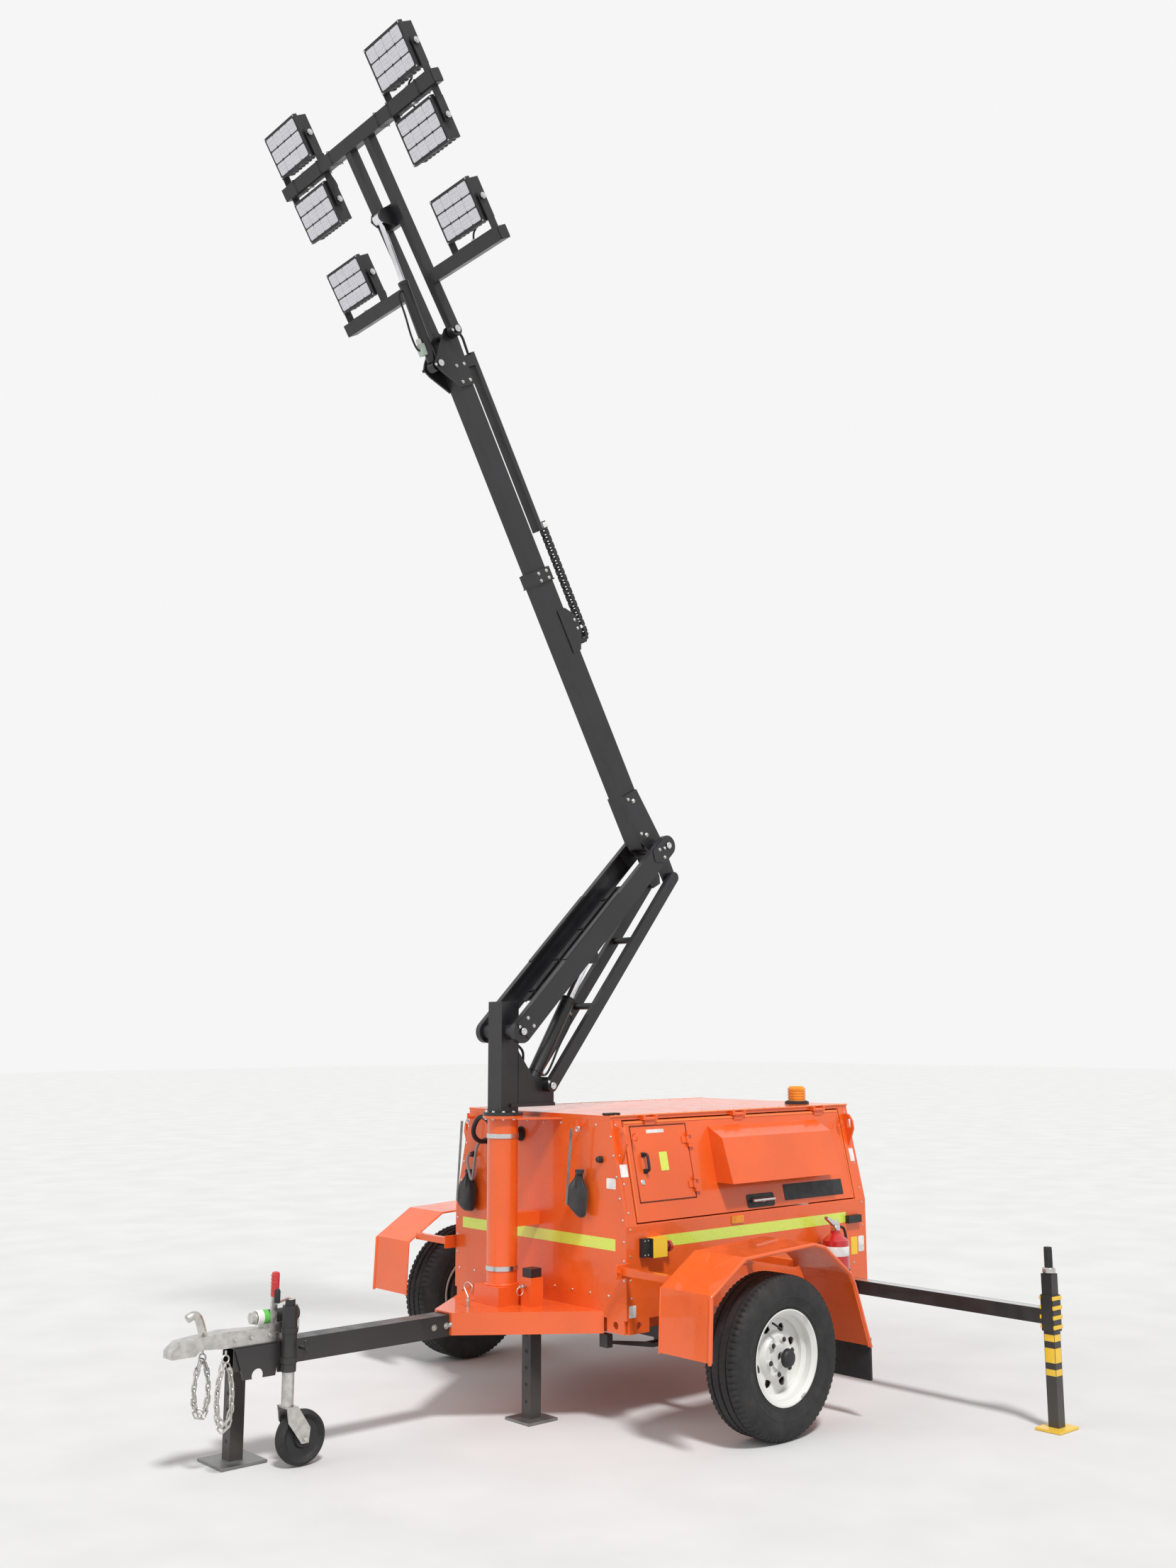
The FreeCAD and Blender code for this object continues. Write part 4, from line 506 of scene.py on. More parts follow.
def rounded(w, h, r, steps=4):
    """A rectangle's outline with rounded corners."""
    x, y, out = w / 2 - r, h / 2 - r, []
    for cx, cy, start in ((x, y, 0), (-x, y, 90), (-x, -y, 180), (x, -y, 270)):
        angles = [radians(start + 90 * n / steps) for n in range(steps + 1)]
        out += [(cx + r * cos(a), cy + r * sin(a)) for a in angles]
    return out


def tile(centre, normal, across, w, h, t=0.0015, r=0.004):
    """A thin plate with rounded corners, raised along its normal."""
    return plate(rounded(w, h, r), facing(centre, normal, across), t, min(t * 0.3, 0.0015))


def side_tile(x, z, w, h, side=1, t=0.0015, r=0.004):
    return tile(skin(x, z, side), outward(z, side), AHEAD, w, h, t, r)


def placed(matrix, *shapes):
    return moved(gathered(*shapes), matrix)


def ring_of(centre, axis, radius, tube, sides=48):
    """A round ring of bent bar."""
    return pipe(along(facing(centre, axis), [polar(radius, a, 0) for a in turns(sides)]), tube, 10, closed=True)


def hose(name, body, material, points, radius):
    """A free cord on one smooth curve."""
    curve = bpy.data.curves.new(name, "CURVE")
    curve.dimensions = "3D"
    spline = curve.splines.new("NURBS")
    spline.points.add(len(points) - 1)
    for point, spot in zip(spline.points, points):
        point.co = (*spot, 1)
    spline.order_u = 3
    spline.use_endpoint_u = True
    spline.resolution_u = 8
    made = bpy.data.objects.new(name, curve)
    bpy.context.scene.collection.objects.link(made)
    line = bpy.data.meshes.new_from_object(made)
    bpy.data.meshes.remove(line)
    curve.bevel_depth = radius
    curve.bevel_resolution = 4
    curve.use_fill_caps = True
    curve.materials.append(material)
    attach(made, body)


def recolour(name, material, test):
    """Gives the faces of a carried-over node that pass the test another material."""
    mesh = NODES[name].data
    mesh.materials.append(material)
    for face in mesh.polygons:
        if test(face.center):
            face.material_index = len(mesh.materials) - 1


# Two-coloured nodes

FOOT_TOP = 0.0105
recolour("lights_and_switches", amber, lambda p: p.z > 1.3225)
recolour("lights_and_switches", red, lambda p: (p.x < REAR - MM and abs(p.y) < 0.5)
         or (X(150) < p.x < X(195) and p.y > 0.6))
recolour("lights_and_switches", amber, lambda p: p.x < REAR - MM and abs(p.y) >= 0.5)
recolour("lights_and_switches", yellow, lambda p: X(205) < p.x < X(291) and p.y > 0.6)
recolour("fire_extinguisher", steel, lambda p: p.z > 0.729)
recolour("fire_extinguisher", black, lambda p: 0.52 < p.z < 0.6 and p.y < 0.64)
recolour("jockey_wheel", dark, lambda p: hypot(p.x - X(1678), p.z - 0.105) < 0.068)
recolour("coupling", black, lambda p: hypot(p.y, p.z - DAMPER_HEIGHT) < 0.0275 and X(1625) < p.x < X(1822))
for name in ("front_stand", "middle_leg"):
    recolour(name, worn, lambda p: p.z < FOOT_TOP)
recolour("turret", steel, lambda p: 0.02 < p.x < 0.0855 and 1.353 < p.z < 1.4505 and abs(p.y) < 0.0345)
for name, _ in SIDES:
    recolour(name + "_outrigger_leg", yellow, lambda p: p.z < FOOT_TOP)
    recolour(name + "_outrigger_leg", rubber, lambda p: p.z > 0.6405)


# Wheels, mudguards and the body's sides

TREADS, STEPS = 78, 3
SHOULDER_NOTCH, SIPE = 0.0065, 0.0025
# (radius, distance from the tyre's middle) from the bead to the middle of the tread
HALF_TYRE = [
    (0.1785, 0.066), (0.18, 0.07), (0.186, 0.0755), (0.197, 0.08), (0.206, 0.085), (0.207, 0.0868),
    (0.2105, 0.0868), (0.212, 0.0862), (0.228, 0.092), (0.244, 0.0962), (0.2455, 0.0974), (0.2485, 0.0976),
    (0.25, 0.0968), (0.266, 0.0985), (0.283, 0.097), (0.296, 0.0925), (0.3, 0.0915), (0.303, 0.089),
    (0.314, 0.0845), (0.3215, 0.0805), (0.3275, 0.0765), (0.3305, 0.0715), (0.3318, 0.064), (0.3322, 0.054),
    (0.3324, 0.0455), (0.325, 0.044), (0.325, 0.038), (0.3326, 0.0365), (0.3328, 0.022), (0.3329, 0.006),
    (0.3255, 0.0045), (0.3255, 0.0)]
# The mudguard's outline in millimetres forward from the axle and up from the ground
GUARD_LINE = [(500, 385), (488, 640), (282, 768), (-150, 786), (-222, 768), (-392, 640), (-418, 596), (-520, 318)]


def tyre(side):
    """A tyre with ribbed walls, notched shoulders and sipes in its inner ribs."""
    profile = HALF_TYRE + [(r, -t) for r, t in HALF_TYRE[-2::-1]]
    sides, points = TREADS * STEPS, []
    for radius, along_axis in profile:
        for k in range(sides):
            turn, r = 2 * pi * (k + (0.5 if along_axis > 0 else 0)) / sides, radius
            if k % STEPS == 0 and 0.046 < abs(along_axis) < 0.083:
                r -= SHOULDER_NOTCH
            if k % STEPS == 1 and 0.005 < abs(along_axis) < 0.0368 and radius > 0.33:
                r -= SIPE
            points.append((r * cos(turn), r * sin(turn), along_axis))
    last = (len(profile) - 1) * sides
    bore = [[k, (k + 1) % sides, last + (k + 1) % sides, last + k] for k in range(sides)]
    return moved((points, lattice(len(profile), sides) + bore),
                 facing((X(0), side * HALF_TRACK, WHEEL_HEIGHT), (0, side, 0)))


def wheel_fittings(name, side):
    wheel, hub, out = name + "_wheel", V(X(0), side * HALF_TRACK, WHEEL_HEIGHT), V(0, side, 0)
    piece(name + "_tyre_tread", wheel, tyre_rubber, tyre(side), sharp=30, stands_for=(name + "_tyre",))
    drum = turned(hub - out * 0.075, out, [(0.06, 0), (0.138, 0.002), (0.146, 0.008), (0.146, 0.012), (0.139, 0.015),
                                           (0.139, 0.058), (0.13, 0.068), (0.06, 0.07)], 64)
    piece(name + "_brake_drum", wheel, iron, drum,
          [ring_of(hub - out * (0.052 - 0.012 * n), out, 0.1385, 0.0022) for n in range(4)])
    cap = [(0.036, 0), (0.036, 0.012), (0.033, 0.019), (0.027, 0.023), (0, 0.025)]
    piece(name + "_hub_cap", wheel, dark, turned(hub + out * 0.0805, out, cap, 40),
          ring_of(hub + out * 0.083, out, 0.037, 0.002, 40))
    studs = []
    for n in range(6):
        a = radians(60 * n + 15)
        spot = hub + V(0.07 * cos(a), 0, -0.07 * sin(a)) + out * 0.0515
        studs += [bar(spot, spot + out * 0.009, 0.0058, 14, 0.001),
                  turned(spot, out, [(0.0104, 0), (0.0112, 0.0005), (0.0104, 0.0022), (0.0065, 0.003)], 20)]
    piece(name + "_wheel_studs", wheel, iron, studs)
    a = radians(70)
    ray = V(cos(a), 0, sin(a))
    spot = hub + ray * 0.15 + out * 0.05
    path = smooth_path([spot, spot + out * 0.012 - ray * 0.004, spot + out * 0.034 - ray * 0.016], 5)
    piece(name + "_tyre_valve", wheel, rubber, pipe(path, 0.0045, 12),
          bar(path[-1], path[-1] + out * 0.009 - ray * 0.004, 0.0052, 12, 0.001))
    piece(name + "_balance_weights", wheel, steel, [
        pipe(arc(hub + out * 0.0835, (cos(b), 0, sin(b)), (-sin(b), 0, cos(b)), 0.1885, 0, 9, 6),
             0.0042, 8) for b in (2.2, 4.1)])


def guard_fittings(name, side):
    """Rolled edges, the rubber flap with its clamp, and the stays' flanges."""
    out = V(0, side, 0)
    outer, inner = ([V(X(x), side * y, (z - drop) * MM) for x, z in GUARD_LINE]
                    for y, drop in ((1.19, 7), (0.905, 5)))
    fixed(name + "_guard_edges", orange, pipe(outer, 0.0075, 12), pipe(inner, 0.004, 10))
    x, y = X(-526), side * 1.0475
    ribs = [block((x - 0.005, y - 0.12, z), (x - 0.002, y + 0.12, z + 0.008), 0.001)
            for z in (0.19, 0.212, 0.234, 0.256)]
    fixed(name + "_mud_flap", rubber,
          block((x - 0.003, y - 0.139, 0.17), (x + 0.011, y + 0.139, 0.348), 0.002), ribs)
    fixed(name + "_flap_clamp", zinc,
          block((x - 0.007, y - 0.135, 0.318), (x - 0.002, y + 0.135, 0.34), 0.001),
          [bolt((x - 0.007, y + 0.055 * n, 0.329), -AHEAD, 0.006, 0.004) for n in range(-2, 3)])
    flanges = []
    for x, z in ((X(430), 0.664), (X(-360), 0.65)):
        flanges.append(tile((x, side * 0.6155, z), out, AHEAD, 0.09, 0.06, 0.006, 0.006))
        flanges += [bolt((x + dx, side * 0.6215, z), out, 0.007, 0.005) for dx in (-0.032, 0.032)]
    fixed(name + "_guard_brackets", orange, flanges)


def side_fittings(name, side):
    """Tape, reflector, screws, the doors' latches and trim, lifting eyes and the roof's edge; the trim and the roof's
    edge carry a painted highlight in a lighter orange.
    """
    door = name + "_door"
    fixed(name + "_reflective_tape", tape_yellow,
          side_tile(X(215) - 0.6505, 0.767, 1.301, 0.05, side, 0.0006, 0.001))
    fixed(name + "_amber_reflector", amber, side_tile(X(-294), 0.82, 0.082, 0.034, side, 0.006, 0.003),
          [side_tile(X(-294) + 0.02 * n, 0.82, 0.002, 0.028, side, 0.0068, 0.0009) for n in (-1, 0, 1)])
    spots = [(X(380) - 0.19 * n, LOW_SCREWS) for n in range(9)]
    spots += [(x, z) for x in (X(385), X(-1215)) for z in (0.62, 0.72, 0.83, 0.9, 1.02, 1.14, 1.27)]
    fixed(name + "_side_screws", zinc,
          [dome(skin(x, z, side), outward(z, side), 0.0055) for x, z in spots])
    latches, pans, z, grip = [], [], 0.893, V(0.075, 0, 0)
    n = outward(z, side)
    for x in (X(-470),) if side > 0 else (X(-150), X(-790)):
        pans.append(side_tile(x, z, 0.19, 0.062, side, 0.003, 0.012))
        spot = skin(x, z, side) + n * 0.003
        latches += [bar(spot, spot + n * 0.022, 0.011, 20, 0.002),
                    bar(spot + n * 0.02 - grip, spot + n * 0.02 + grip, 0.0085, 20, 0.002)]
    piece(name + "_latch_pans", door, dark, pans)
    piece(name + "_latch_handles", door, steel, latches)
    top = skin((X(340) + X(-1160)) / 2, 1.277, side)
    # The door's top flange and its two upright edge strips are in the lighter orange: a painted highlight along the
    # door's edges.
    piece(name + "_door_flange_highlight", door, orange_highlight, tile(top, outward(1.27, side), AHEAD, 1.49, 0.01, 0.003, 0.001),
          [side_tile(X(x), 1.07, 0.006, 0.4, side, 0.002, 0.001) for x in (334, -1154)])
    hood = [dome(skin(X(-205) - 0.0958 * n, 1.215, side, 0.026), V(0, side * 0.6, 0.8), 0.004) for n in range(9)]
    for n in range(5):
        z = 1.005 + 0.034 * n
        hood.append(block((X(-960), side * 0.57 - 0.002, z), (X(-215), side * 0.57 + 0.002, z + 0.022), 0.0008))
    piece(name + "_hood_rivets", door, black, hood)
    fixed(name + "_lug_welds", orange, [
        ring_of(skin(x, 1.2165, side, 0.031), AHEAD, 0.016, 0.0025, 24) for x in (X(300) + 0.0055, X(-1120) - 0.0055)])
    # The roof's edge bead and its screws are in the lighter orange: a painted highlight along the roof's edge.
    fixed(name + "_roof_edge_highlight", orange_highlight,
          pipe([(x, side * 0.5155, 1.3075) for x in (REAR, FRONT)], 0.004, 10),
          [dome((REAR + 0.06 + 0.11 * n, side * 0.495, ROOF), UP, 0.0045) for n in range(15)])


for name, side in SIDES:
    wheel_fittings(name, side)
    guard_fittings(name, side)
    side_fittings(name, side)


# Front and rear of the body

def end_tile(end, y, z, w, h, t=0.0006, r=0.004):
    """A plate on the body's front (end 1) or rear (end -1)."""
    return tile((FRONT if end > 0 else REAR, y, z), (end, 0, 0), ACROSS, w, h, t, r)


screws = [(y * 0.01, LOW_SCREWS) for y in range(-58, 59, 12)] + [(y * 0.01, 1.268) for y in range(-42, 43, 12)]
screws += [(s * (half_width(z) - 0.015), z) for s in (1, -1) for z in (0.62, 0.7, 0.78, 0.87, 0.96, 1.05, 1.14, 1.22)]
for name, x, out in (("front", FRONT, AHEAD), ("rear", REAR, -AHEAD)):
    fixed(name + "_screws", zinc, [dome((x, y, z), out, 0.0058) for y, z in screws])
fixed("front_tape", tape_yellow, end_tile(1, -0.006, 0.762, 1.104, 0.05, 0.0006, 0.001))
fixed("rear_tape", tape_yellow, end_tile(-1, 0, 0.767, 1.1, 0.05, 0.0006, 0.001))
fixed("blank_labels", label, side_tile(FRONT - 0.035, 1.075, 0.045, 0.055),
      side_tile(FRONT - 0.035, 0.49, 0.04, 0.05), end_tile(1, 0.52, 1.02, 0.06, 0.045),
      side_tile(X(-1200), 0.63, 0.045, 0.075), [side_tile(X(-1205), 1.06, 0.034, 0.065, s) for s in (1, -1)])
fixed("yellow_signs", yellow, side_tile(X(-1145), 0.625, 0.05, 0.085), end_tile(1, -0.3, 0.66, 0.07, 0.06))
piece("badge_plate", "left_door", dark, side_tile(X(-862), 0.915, 0.44, 0.075, 1, 0.002, 0.004))
piece("badge_plate_right", "right_door", dark, side_tile(X(-362), 0.935, 0.3, 0.06, -1, 0.002, 0.004))
fixed("round_buffer", rubber, turned((FRONT, -0.11, 1.205), AHEAD, [
    (0.034, 0), (0.034, 0.004), (0.026, 0.006), (0.026, 0.022), (0.022, 0.03), (0.01, 0.034), (0, 0.0345)], 36))
glands = []
for y, z in ((-0.372, 1.159), (-0.25, 1.175), (-0.47, 1.09), (0.455, 1.12)):
    glands += [turned((FRONT, y, z), AHEAD, [(0.017, 0), (0.017, 0.008), (0.014, 0.01)], 6),
               turned((FRONT + 0.01, y, z), AHEAD, [(0.0125, 0), (0.0125, 0.012), (0.009, 0.016)], 20)]
fixed("cable_glands", dark, glands)
post = V(X(607), 0, 0)
hose("post_hose", "trailer", rubber, [
    (FRONT + 0.02, -0.25, 1.175), (FRONT + 0.07, -0.25, 1.17), (FRONT + 0.15, -0.245, 1.165), (post.x, -0.235, 1.215),
    (post.x, -0.185, 1.29), (post.x, -0.12, 1.285), (post.x, -0.066, 1.235)], 0.011)
hose("supply_cable", "trailer", grey, [(FRONT + x, y, z) for x, y, z in (
    (0.02, -0.372, 1.159), (0.06, -0.372, 1.159), (0.085, -0.36, 1.05), (0.06, -0.41, 0.96), (0.05, -0.452, 1.02),
    (0.05, -0.47, 1.088), (0.02, -0.47, 1.09))], 0.0065)
fixed("post_bands", steel, [band(post + UP * z, UP, 0.0705, 0.0735, 0.022, 56) for z in (0.62, 1.2)])
fixed("post_welds", orange, [ring_of(post + UP * z, UP, 0.073, 0.005) for z in (0.562, 1.287)])
fixed("flange_bolts", zinc,
      [bolt(post + polar(0.081, a, 1.289), -UP, 0.007, 0.006) for a in turns(10, 0.5)])
piece("turret_bolts", "turret", zinc, [
    bolt(post + polar(0.078, a, 1.3165), UP, 0.007, 0.006) for a in turns(10, 0.5) if cos(a) > -0.3])


# Bags over the supply plugs

BAGS = ((1.072, 0.33, 0.55), (1.02, -0.486, 0.45))
BAG_TALL, BAG_HALF_WIDE, BAG_HALF_DEEP = 0.192, 0.056, 0.031
HOOK_HEIGHT = 1.262


def bag(top, y, tilt):
    """A drawn-up cloth bag: gathered folds at its neck, a full and slightly sagging foot."""
    points, rows, sides = [], 44, 72
    rng = random.Random(int(1000 * top))
    phases = [rng.uniform(0, 6.28) for _ in range(5)]
    front = FRONT + 0.0345
    for n in range(rows + 1):
        t = n / rows
        neck = min(1.0, max(0.0, (t - 0.1) / 0.42))
        neck = neck * neck * (3 - 2 * neck)
        foot = 1 - max(0.0, (t - 0.8) / 0.2) ** 3 * 0.62
        flare = 0.34 if t < 0.07 else 0.24
        wide = BAG_HALF_WIDE * (flare + (1 - flare) * neck) * foot
        deep = BAG_HALF_DEEP * (0.45 + 0.55 * neck) * foot
        lean = 0.02 * (1 - t) ** 1.5 - 0.004 * t
        for a in turns(sides):
            fold = (1 - neck) * 0.16 * cos(9 * a + phases[0]) + 0.035 * sin(3 * a + 5 * t + phases[1])
            fold += 0.03 * sin(5 * a - 9 * t + phases[2]) * (1 - 0.4 * t)
            c, s = cos(a), sin(a)
            u = wide * copysign(abs(c) ** 0.8, c) * (1 + fold) + lean
            v = deep * copysign(abs(s) ** 0.8, s) * (1 + fold)
            z = top - BAG_TALL * t + 0.004 * sin(2 * a + phases[3]) * t - tilt * u * t
            points.append((min(max(front + v, FRONT + 0.002), FRONT + 0.065), y + u, z))
    return points, lattice(rows + 1, sides) + [list(range(sides))[::-1], [rows * sides + k for k in range(sides)]]


fixed("plug_covers", cloth, [bag(*place) for place in BAGS], sharp=70, stands_for=("plug_bags",))
ties, straps, rods = [], [], []
for top, y, _ in BAGS:
    spot = V(FRONT + 0.0345, y + 0.019, top - 0.016)
    neck = [spot + V(0.0155 * sin(a), 0.0175 * cos(a), 0) for a in turns(40)]
    loose = smooth_path([spot + V(0.016, 0, 0), spot + V(0.024, 0.008, -0.02), spot + V(0.026, 0.012, -0.055)], 6)
    ties += [pipe(neck, 0.003, 8, closed=True), pipe(loose, 0.0022, 8)]
    low, high = top - 0.155, HOOK_HEIGHT - 0.012
    straps.append(plate([(0.009, high), (-0.009, high), (-0.04, low + 0.005), (-0.028, low)],
                        facing((FRONT + 0.0655, y, 0), AHEAD, ACROSS), 0.003, 0.0006))
    rods += [pipe([(FRONT + 0.03, y, HOOK_HEIGHT + dz) for dz in (0.006, -0.02)], 0.004, 12),
             ring_of((FRONT + 0.03, y, HOOK_HEIGHT - 0.014), AHEAD, 0.012, 0.0025, 28)]
fixed("bag_ties", webbing, ties)
fixed("bag_straps", strap_cloth, straps)
fixed("bag_hooks", steel, rods)


# Control hatch, emergency stop, extinguisher, beacon, tail lamps

n = outward(1.1, 1)
low, high = skin(X(245), 1.066), skin(X(245), 1.136)
inset = (high - low) * 0.12
pull = smooth_path([low, low + n * 0.016, low + n * 0.027 + inset, high + n * 0.027 - inset, high + n * 0.016,
                    high], 6)
piece("hatch_pull", "control_hatch", dark, pipe(pull, 0.0065, 14),
      [tile(end, n, AHEAD, 0.026, 0.022, 0.004) for end in (low, high)])
piece("hatch_yellow_label", "control_hatch", tape_yellow, side_tile(X(122), 1.103, 0.05, 0.083))
piece("hatch_white_label", "control_hatch", label, side_tile(X(150), 1.235, 0.11, 0.016, 1, 0.0008, 0.002))
corners = ((303, 0.938), (303, 1.259), (-48, 1.259), (-48, 0.938))
piece("hatch_seal", "control_hatch", rubber,
      pipe([skin(X(x), z) + n * 0.0005 for x, z in corners], 0.0022, 8, closed=True))
piece("hatch_lock", "control_hatch", steel,
      turned(skin(X(270), 1.02), n, [(0.013, 0), (0.013, 0.002), (0.0105, 0.004), (0.004, 0.0045)], 28))
spot = V(X(172), 0.639, 0.748)
fixed("stop_button", red, turned(spot + AHEAD * 0.002, -AHEAD, [
    (0.0235, 0), (0.0235, 0.003), (0.021, 0.0055), (0.012, 0.0075), (0, 0.008)], 36))
fixed("stop_collar", dark, ring_of(spot + AHEAD * 0.016, AHEAD, 0.018, 0.0025, 30))
fixed("stop_screws", zinc, [
    dome((X(300) + dx, 0.6435, 0.751 + dz), ACROSS, 0.004) for dx in (0.004, 0.024) for dz in (-0.03, 0.03)])
bottle = V(X(-900), 0.699, 0)
fixed("extinguisher_band", label, band(bottle + UP * 0.612, UP, 0.0632, 0.0636, 0.044, 56))
fixed("extinguisher_strap", webbing, band(bottle + UP * 0.522, UP, 0.0632, 0.0652, 0.026, 56),
      block(bottle + V(-0.016, 0.063, 0.518), bottle + V(0.016, 0.072, 0.552), 0.002))
gauge = [(0.013, 0), (0.013, 0.006), (0.0115, 0.008), (0, 0.0083)]
fixed("extinguisher_gauge", steel, turned(bottle + V(0.012, 0.016, 0.742), ACROSS, gauge, 28),
      ring_of(bottle + V(-0.018, 0, 0.762), ACROSS, 0.011, 0.0018, 20))
nozzle = smooth_path([bottle + V(*p) for p in (
    (-0.014, 0, 0.742), (-0.045, 0.006, 0.738), (-0.06, 0.01, 0.715), (-0.067, 0.012, 0.66), (-0.068, 0.012, 0.58))], 7)
fixed("extinguisher_nozzle", rubber, pipe(nozzle, 0.0065, 12), turned(
    nozzle[-1], nozzle[-1] - nozzle[-2], [(0.0085, -0.02), (0.0095, 0), (0.012, 0.035), (0.01, 0.036)], 20))
beacon = V(X(-1060), 0.338, 1.3103)
fixed("beacon_fittings", dark, ring_of(beacon + UP * 0.0125, UP, 0.052, 0.004, 48),
      [dome(beacon + polar(0.056, a, 0.012), UP, 0.004) for a in (0.5, 2.6, 4.7)])
fixed("roof_latch", dark, block((FRONT - 0.1, 0.44, ROOF), (FRONT - 0.02, 0.475, 1.32), 0.003))
for name, side in SIDES:
    for kind, material, dy in (("ribs", red, -0.034), ("lens", amber, 0.034)):
        fixed("tail_lamp_%s_%s" % (kind, name), material, [
            tile((X(-1270), side * (0.5 + dy), 0.645 + dz), -AHEAD, ACROSS, 0.06, 0.04, 0.003, 0.004)
            for dz in (-0.022, 0.022)])
fixed("blank_plate", label, end_tile(-1, 0, 0.66, 0.3, 0.1, 0.003, 0.008))


# Drawbar, coupling and stands

def cross_bolts(places, half, z, size, height):
    """Bolt heads on both sides of a beam that lies along the trailer."""
    return [bolt((X(x), s * half, z), (0, s, 0), size, height) for x in places for s in (1, -1)]


grip = smooth_path([(X(x), 0, z) for x, z in ((2074, 0.54), (2092, 0.588), (2112, 0.604), (2140, 0.594))], 6)
fixed("handle_grip", zinc, pipe(grip, 0.0165, 14))
fixed("coupling_bolts", zinc, cross_bolts((1800, 1880, 1950), 0.036, 0.498, 0.01, 0.008))
fixed("damper_cap", white, turned((X(1818), 0, DAMPER_HEIGHT), AHEAD, [
    (0.0262, 0), (0.0285, 0.002), (0.0285, 0.026), (0.024, 0.031), (0, 0.032)], 36))
fixed("damper_band", green, band((X(1796), 0, DAMPER_HEIGHT), AHEAD, 0.0262, 0.0275, 0.022, 40))
grip = V(X(1782), 0.032, 0.64)
fixed("brake_grip", red, turned(grip, (-0.02, 0, 1), [
    (0.014, 0), (0.0165, 0.004), (0.0165, 0.085), (0.014, 0.094), (0.006, 0.097)], 24),
      [ring_of(grip + UP * (0.012 + 0.014 * n), UP, 0.0163, 0.0016, 24) for n in range(6)])

# name, place, y, lowest point and half width of each safety chain's loops
CHAINS = (("left", 2000, 0.055, 0.175, 0.036), ("right", 2055, -0.03, 0.215, 0.034))
CHAIN_TOP, LINK_LENGTH, LINK_HALF_WIDE = 0.425, 0.034, 0.008


def chain(points):
    """Oval links threaded along a line, each turned a quarter from the last."""
    line, ovals = smooth_path(points, 40), []
    gone, last, wide, half = 0.0, line[0], LINK_HALF_WIDE, LINK_LENGTH / 2 - LINK_HALF_WIDE
    for here in line[1:]:
        gone += (here - last).length
        if gone >= LINK_LENGTH * 0.74:
            quarter = Matrix.Rotation(radians(90 * (len(ovals) % 2)), 4, "Z")
            spot = facing(here, here - last, (0, 1, 0.3)) @ quarter
            oval = [spot @ V(wide * cos(a), 0, copysign(half, sin(a)) + wide * sin(a))
                    for a in turns(16, 0.5)]
            ovals.append(pipe(oval, 0.0032, 8, closed=True))
            gone = 0.0
        last = here
    return ovals


def coiled(x, y, top, low, wide):
    """A chain hung up in a double loop from one hook."""
    middle, half, loops = (top + low) / 2, (top - low) / 2, []
    for n in range(24):
        a, second = 2 * pi * n / 12, n > 11
        loops.append((x + wide * (1 - 0.25 * second) * sin(a),
                      y + 0.01 * cos(a / 2) + 0.006 * sin(2 * a),
                      middle + half * (1 - 0.12 * second) * cos(a) + 0.012 * second))
    return loops


hooks = []
for name, x, y, low, wide in CHAINS:
    piece("safety_chain_" + name, "trailer", zinc, chain(coiled(X(x), y, CHAIN_TOP, low, wide)))
    hooks += [ring_of((X(x), y, 0.437), (0, 1, 0.2), 0.014, 0.0035, 24),
              bar((X(x), y, 0.449), (X(x), y, 0.468), 0.0045, 12)]
fixed("chain_hooks", zinc, hooks)
jockey = V(X(1740), JOCKEY_Y, 0)
crank = smooth_path([jockey + V(*p) for p in ((0, 0, 0.628), (0.02, 0.01, 0.638), (0.09, 0.05, 0.634))], 6)
fixed("jockey_crank", zinc, bar(jockey + UP * 0.63, jockey + UP * 0.6335, 0.018, 24, 0.001),
      pipe(crank, 0.0055, 12))
fixed("jockey_knob", rubber, turned(jockey + V(0.088, 0.049, 0.634), UP, [
    (0.009, 0), (0.012, 0.004), (0.012, 0.045), (0.008, 0.052), (0, 0.053)], 20))
fixed("jockey_clamp", black,
      [band(jockey + UP * z, UP, 0.0302, 0.034, 0.022, 36, hollow=True) for z in (0.392, 0.505)],
      bar((X(1700), 0.096, 0.448), (X(1700), 0.156, 0.448), 0.007, 14, 0.001),
      bar((X(1700), 0.141, 0.418), (X(1700), 0.141, 0.478), 0.006, 14, 0.001))
hub = V(X(1678), JOCKEY_Y, 0.105)
piece("jockey_nuts", "jockey_fork", zinc, [bolt(hub + V(0, s * 0.04, 0), (0, s, 0), 0.01, 0.008) for s in (1, -1)])
# Thin dark rubber discs on the front stand and the middle leg: painted shade standing for the shaded insides of their
# holes.
for name, body, x, y, gap in (("stand_hole_shades", "front_stand", 1850, -0.14, 0.06),
                              ("leg_hole_shades", "middle_leg", 560, 0.158, 0.07)):
    piece(name, body, rubber, [turned((X(x) + 0.03, y, 0.08 + gap * n), AHEAD, [
        (0.008, -0.0008), (0.0085, 0), (0.0065, 0.0002), (0, 0.0002)], 20) for n in range(5)])


def lock_pin(start, axis, length, loop=0.018):
    """A zinc pin with a collar and a ring through its head; a loop of 0 leaves the ring without size."""
    start, axis = Vector(start), Vector(axis)
    return [bar(start - axis * 0.018, start + axis * length, 0.0065, 16, 0.0015),
            bar(start - axis * 0.004, start, 0.01, 20, 0.001),
            ring_of(start - axis * 0.012 - UP * loop, axis.cross(UP), loop, 0.0018, 26)]


